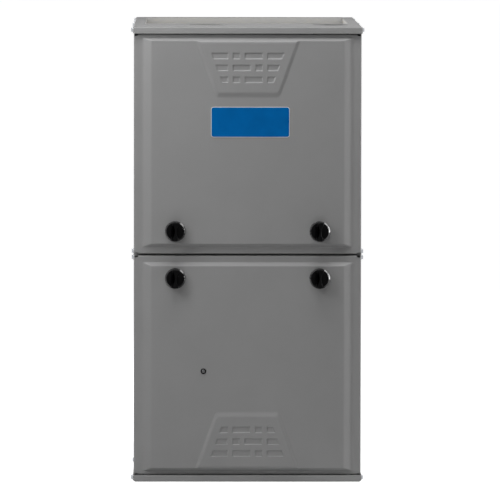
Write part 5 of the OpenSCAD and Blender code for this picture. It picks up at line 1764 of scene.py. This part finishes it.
@dataclass
class BladedWheel:
    """Fan wheel with turned rings, disc and hub, and forward-curved blades set round by Geometry Nodes."""

    palette: Palette
    node: str
    slot: Slot
    axis: str
    blades: int
    blade_inner: float
    blade_length: float
    blade_thick: float
    blade_curl: float
    profile: list[Outline]
    blade_span: tuple[float, float]
    sides: int = 72
    blade_columns: int = 6

    def build(self) -> None:
        """Make the wheel."""
        x, y, z = middle_mm(self.node)
        metal = self.palette.of(self.slot)
        centre = {"X": (0.0, y, z), "Y": (x, 0.0, z)}[self.axis]
        parts = [lathe(run, centre, self.axis, metal, self.sides) for run in self.profile]
        parts.append(self.blade_ring(centre, metal))
        settle(join(self.node + "_finished", parts), BODIES[self.node], self.slot, self.node, sharp=35)

    def blade_ring(self, centre: Point, metal: Material) -> Piece:
        """Set the blades round the wheel.

        Args:
            centre: Place of the axis in mm.
            metal: Their material.

        Returns:
            All blades as one mesh.
        """
        start, end = self.blade_span
        recipe = NodeRecipe(self.node + "_blades", Count=self.blades, Inner=self.blade_inner * MM,
                            Length=self.blade_length * MM, Thickness=self.blade_thick * MM,
                            Curl=self.blade_curl * MM, Span=(end - start) * MM)
        count, length = recipe.size("Count"), recipe.size("Length")
        share = recipe.math("ADD", recipe.math("DIVIDE", recipe.along(), length), 0.5)
        bend = recipe.math("MULTIPLY", recipe.math("MULTIPLY", share, share), recipe.size("Curl"))
        curled = recipe.bent_plate("Length", "Span", self.blade_columns, bend)
        reach = recipe.math("ADD", recipe.size("Inner"), recipe.math("MULTIPLY", length, 0.5))
        blade = recipe.add("Transform", Geometry=curled, Translation=recipe.vector(x=reach))
        row = recipe.add("MeshLine", Count=count, Offset=(0.0, 0.0, 0.0))
        number = recipe.add("InputIndex").outputs[0]
        turn = recipe.vector(z=recipe.math("MULTIPLY", number, recipe.math("DIVIDE", 2 * math.pi, count)))
        recipe.spread(row.outputs["Mesh"], blade.outputs[0], turn, metal)
        piece = recipe.run(mesh_object(self.node + "_blade_ring", [(0, 0, 0)], [], metal))
        lie_down = Matrix.Rotation(math.pi / 2, 4, "Y" if self.axis == "X" else "X")
        offset = Vector(centre)
        offset["XYZ".index(self.axis)] += (start + end) / 2
        piece.data.transform(Matrix.Translation(offset * MM) @ lie_down)
        return piece


def disc(inner: float, outer: float, start: float, end: float, edge: float = 0.3) -> Outline:
    """Closed profile of a turned disc or ring with broken edges.

    Args:
        inner: Radius of its hole, or 0.
        outer: Its radius.
        start: Where it starts along the axis.
        end: Where it ends.
        edge: Size of the broken edges.

    Returns:
        The profile for a lathe.
    """
    rim = [(outer - edge, start), (outer, start + edge), (outer, end - edge), (outer - edge, end)]
    if inner:
        return [(inner, start), *rim, (inner, end)]
    return [(0, start), *rim, (0, end)]


@dataclass
class AirWheels:
    """The blower's double-inlet wheel and the inducer's wheel."""

    palette: Palette
    blower_blades: int = 44
    ring_wide: float = 9.0
    ring_thick: float = 4.0
    inducer_blades: int = 30
    shaft_radius: float = 3.95
    hub_radius: float = 9.0
    motor_boss: float = 8.0
    wheel_gap: float = 12.0
    wheel_width: float = 28.0

    def build(self) -> None:
        """Make both wheels."""
        low, high = box_mm("blower_wheel")
        r, half = (high.z - low.z) / 2, (high.x - low.x) / 2
        thick = self.ring_thick
        rings = [disc(r - self.ring_wide, r, s, s + thick, 0.8) for s in (-half, half - thick)]
        web = [(6.6, -20), (16, -20), (16, -1.2), (24, -0.8), (r - 1, -0.8), (r - 1, 0.8), (24, 0.8), (16, 1.2),
               (16, 20), (6.6, 20)]
        BladedWheel(self.palette, "blower_wheel", Slot.ZINC, "X", self.blower_blades, r - 20, 18, 0.8, 2.9,
                    [*rings, web], (-half + 1, half - 1)).build()
        low, high = box_mm("inducer_wheel")
        start = box_mm("inducer_housing")[0].y + self.motor_boss + self.wheel_gap
        r, end = (high.x - low.x) / 2, start + self.wheel_width
        shaft = disc(0, self.shaft_radius, low.y, start + 2, 0.6)
        hub = disc(0, self.hub_radius, start - 0.5, start + 16, 0.8)
        BladedWheel(self.palette, "inducer_wheel", Slot.STAINLESS, "Y", self.inducer_blades, r - 13, 12, 0.8, 2.4,
                    [disc(0, r, start, start + 2), disc(r - 14, r, end - 2, end), shaft, hub],
                    (start + 1, end - 1)).build()


@dataclass
class CoilFins:
    """Thin rippled fins on the condensing coil, set out by Geometry Nodes."""

    palette: Palette
    pitch: float = 3.2
    thick: float = 0.35
    ripple: float = 0.7
    waves: float = 10.0
    columns: int = 33

    def build(self) -> None:
        """Make all fins as one piece."""
        low, high = box_mm("coil_fins")
        width = high.x - low.x
        count = round((high.y - low.y - self.thick - 2 * self.ripple) / self.pitch) + 1
        recipe = NodeRecipe("coil_fins", Count=count, Width=width * MM, Height=(high.z - low.z) * MM,
                            Thickness=self.thick * MM, Pitch=self.pitch * MM, Ripple=self.ripple * MM,
                            Wave=2 * math.pi * self.waves / (width * MM))
        wave = recipe.math("SINE", recipe.math("MULTIPLY", recipe.along(), recipe.size("Wave")), 0.0)
        lift = recipe.math("MULTIPLY", wave, recipe.size("Ripple"))
        fin = recipe.bent_plate("Width", "Height", self.columns, lift)
        row = recipe.add("MeshLine", Count=recipe.size("Count"), Offset=recipe.vector(y=recipe.size("Pitch")))
        metal = self.palette.of(Slot.ALUMINIZED)
        recipe.spread(row.outputs["Mesh"], fin, (0.0, 0.0, 0.0), metal)
        piece = recipe.run(mesh_object("coil_fins_finished", [(0, 0, 0)], [], metal))
        x, _, z = middle_mm("coil_fins")
        piece.data.transform(Matrix.Translation(Vector((x, low.y + self.thick / 2 + self.ripple, z)) * MM))
        settle(piece, "cabinet", Slot.ALUMINIZED, "coil_fins", sharp=35)


# --- Light, floor and camera ---


@dataclass(frozen=True)
class Lamp:
    """A soft rectangular lamp: where it hangs, what it points at, its size and power."""

    name: str
    place: Point
    target: Point
    width: float
    height: float
    power: float

    def build(self) -> None:
        """Hang the lamp."""
        light = bpy.data.lights.new(self.name, "AREA")
        light.shape = "RECTANGLE"
        light.size = self.width
        light.size_y = self.height
        light.energy = self.power
        lamp = linked(self.name, light)
        lamp.location = self.place
        lamp.rotation_euler = (Vector(self.target) - Vector(self.place)).to_track_quat("-Z", "Y").to_euler()


LAMPS = (
    Lamp("overhead", (-0.5, -1.6, 2.8), (0.0, -0.36, 0.5), 1.2, 0.8, 12.0),
    Lamp("steep", (0.0, -0.85, 2.2), (0.0, -0.36, 0.8), 1.4, 0.4, 20.0),
    Lamp("mid_front", (-0.9, -2.2, 2.1), (0.0, -0.36, 0.5), 0.8, 0.6, 1.0),
    Lamp("near_left", (-1.0, -1.05, 1.25), (-0.1, -0.36, 0.55), 0.3, 0.9, 11.0),
    Lamp("right_edge", (2.4, -0.19, 0.9), (0.2, -0.36, 0.45), 0.36, 1.6, 37.0),
    Lamp("upper_right", (1.3, -0.06, 1.85), (0.1, -0.3, 0.5), 1.0, 1.0, 22.0),
    Lamp("back_fill", (-1.8, 2.1, 1.5), (0.0, 0.2, 0.45), 1.0, 1.0, 40.0),
)


@dataclass
class Studio:
    """White floor and surroundings with soft lamps."""

    floor_size: float = 80.0
    floor_white: Colour = (0.6, 0.6, 0.6)
    floor_roughness: float = 0.9
    world_grey: float = 0.02
    floor_glow: float = 0.74
    glow_start: float = 0.7
    glow_end: float = 2.6

    def build(self) -> None:
        """Make the floor, the world and the lamps."""
        self.floor()
        self.world()
        for lamp in LAMPS:
            lamp.build()

    @staticmethod
    def seen_directly(tree: bpy.types.NodeTree) -> Socket:
        """Tell rays that show a surface from rays that light up others.

        Args:
            tree: The tree that asks.

        Returns:
            1 for rays from the camera, from mirrors and through glass, else 0.
        """
        rays = tree.nodes.new("ShaderNodeLightPath").outputs
        seen = combine(tree, "MAXIMUM", rays["Is Camera Ray"], rays["Is Glossy Ray"])
        return combine(tree, "MAXIMUM", seen, rays["Is Transmission Ray"])

    def mixed(self, tree: bpy.types.NodeTree, unseen: Socket, seen: Socket) -> Socket:
        """Show one shader where it is seen directly and another one elsewhere."""
        mix = add_node(tree, "ShaderNodeMixShader", {0: self.seen_directly(tree), 1: unseen, 2: seen})
        return mix.outputs["Shader"]

    def floor(self) -> None:
        """White floor that keeps the object's shadow and is plain white further out."""
        half = self.floor_size / 2
        s = Shader("studio_floor")
        s.surface(self.floor_white, self.floor_roughness, None, specular=0.0)
        distance = add_node(s.tree, "ShaderNodeVectorMath", {0: s.coordinates})
        distance.operation = "LENGTH"
        glow = s.new("MapRange", Value=distance.outputs["Value"], From_Min=self.glow_start, From_Max=self.glow_end,
                     To_Min=self.floor_glow, To_Max=1.0)
        white, plain = s.new("Emission", Strength=glow.outputs["Result"]), s.bsdf.outputs["BSDF"]
        both = add_node(s.tree, "ShaderNodeAddShader", {0: plain, 1: white.outputs["Emission"]})
        mix = self.mixed(s.tree, plain, both.outputs["Shader"])
        s.link(mix, s.tree.nodes["Material Output"].inputs["Surface"])
        corners = [(-half, -half, 0), (half, -half, 0), (half, half, 0), (-half, half, 0)]
        plane = mesh_object("studio_floor_plane", corners, [[0, 1, 2, 3]], s.material, smooth=False)

    def world(self) -> None:
        """White where it is seen, a plain grey glow on everything else."""
        world = bpy.data.worlds.new("studio_world")
        bpy.context.scene.world = world
        world.use_nodes = True
        tree = world.node_tree
        tree.nodes.clear()
        skies = [add_node(tree, "ShaderNodeBackground", {"Color": (1, 1, 1, 1), "Strength": strength}).outputs[0]
                 for strength in (self.world_grey, 1.0)]
        add_node(tree, "ShaderNodeOutputWorld", {"Surface": self.mixed(tree, *skies)})


@dataclass
class PhotoCamera:
    """A long lens far in front, a little to the left and above the middle."""

    image_width: float = 500.0
    focal_px: float = 6297.7
    sensor: float = 36.0
    side: float = -0.1195
    distance: float = 12.259
    height: float = 1.2252
    yaw: float = -0.5804
    pitch: float = -3.5992
    roll: float = -0.0856
    near: float = 0.1
    far: float = 200.0

    def build(self) -> None:
        """Make the camera and use it."""
        camera = bpy.data.cameras.new("photo_camera")
        camera.sensor_width = self.sensor
        camera.lens = self.focal_px / self.image_width * self.sensor
        camera.clip_start = self.near
        camera.clip_end = self.far
        eye = linked("photo_camera", camera)
        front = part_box("base_tray")[0].y
        turn = (Matrix.Rotation(math.radians(self.yaw), 4, "Z")
                @ Matrix.Rotation(math.radians(self.pitch), 4, "X")
                @ Matrix.Rotation(math.radians(self.roll), 4, "Y")
                @ Matrix.Rotation(math.radians(90), 4, "X"))
        eye.matrix_world = Matrix.Translation((self.side, front - self.distance, self.height)) @ turn
        bpy.context.scene.camera = eye


def set_view() -> None:
    """Use the plain Standard view transform."""
    bpy.context.scene.view_settings.view_transform = "Standard"


def main() -> None:
    """Build every piece in order, then the light and the camera."""
    logging.basicConfig(level=logging.INFO, format="%(name)s: %(message)s")
    set_view()
    PhotoCamera().build()
    palette = Palette()
    palette.dress_frame()
    for place in DoorPlace:
        PressedDoor(place, palette).build()
    for row in ("upper", "lower"):
        for side in ("left", "right"):
            DoorKnob(f"knob_{row}_{side}", palette).build()
    BlankPlate(palette).build()
    SightGlass(palette).build()
    Casing(palette).build()
    TopPlate(palette, "top_plate", False).build()
    BaseTray(palette, "base_tray", True).build()
    SideScrews(palette).build()
    HolePlugs(palette).build()
    RoundedParts(palette).build()
    AirWheels(palette).build()
    CoilFins(palette).build()
    Studio().build()


if __name__ == "__main__":
    main()
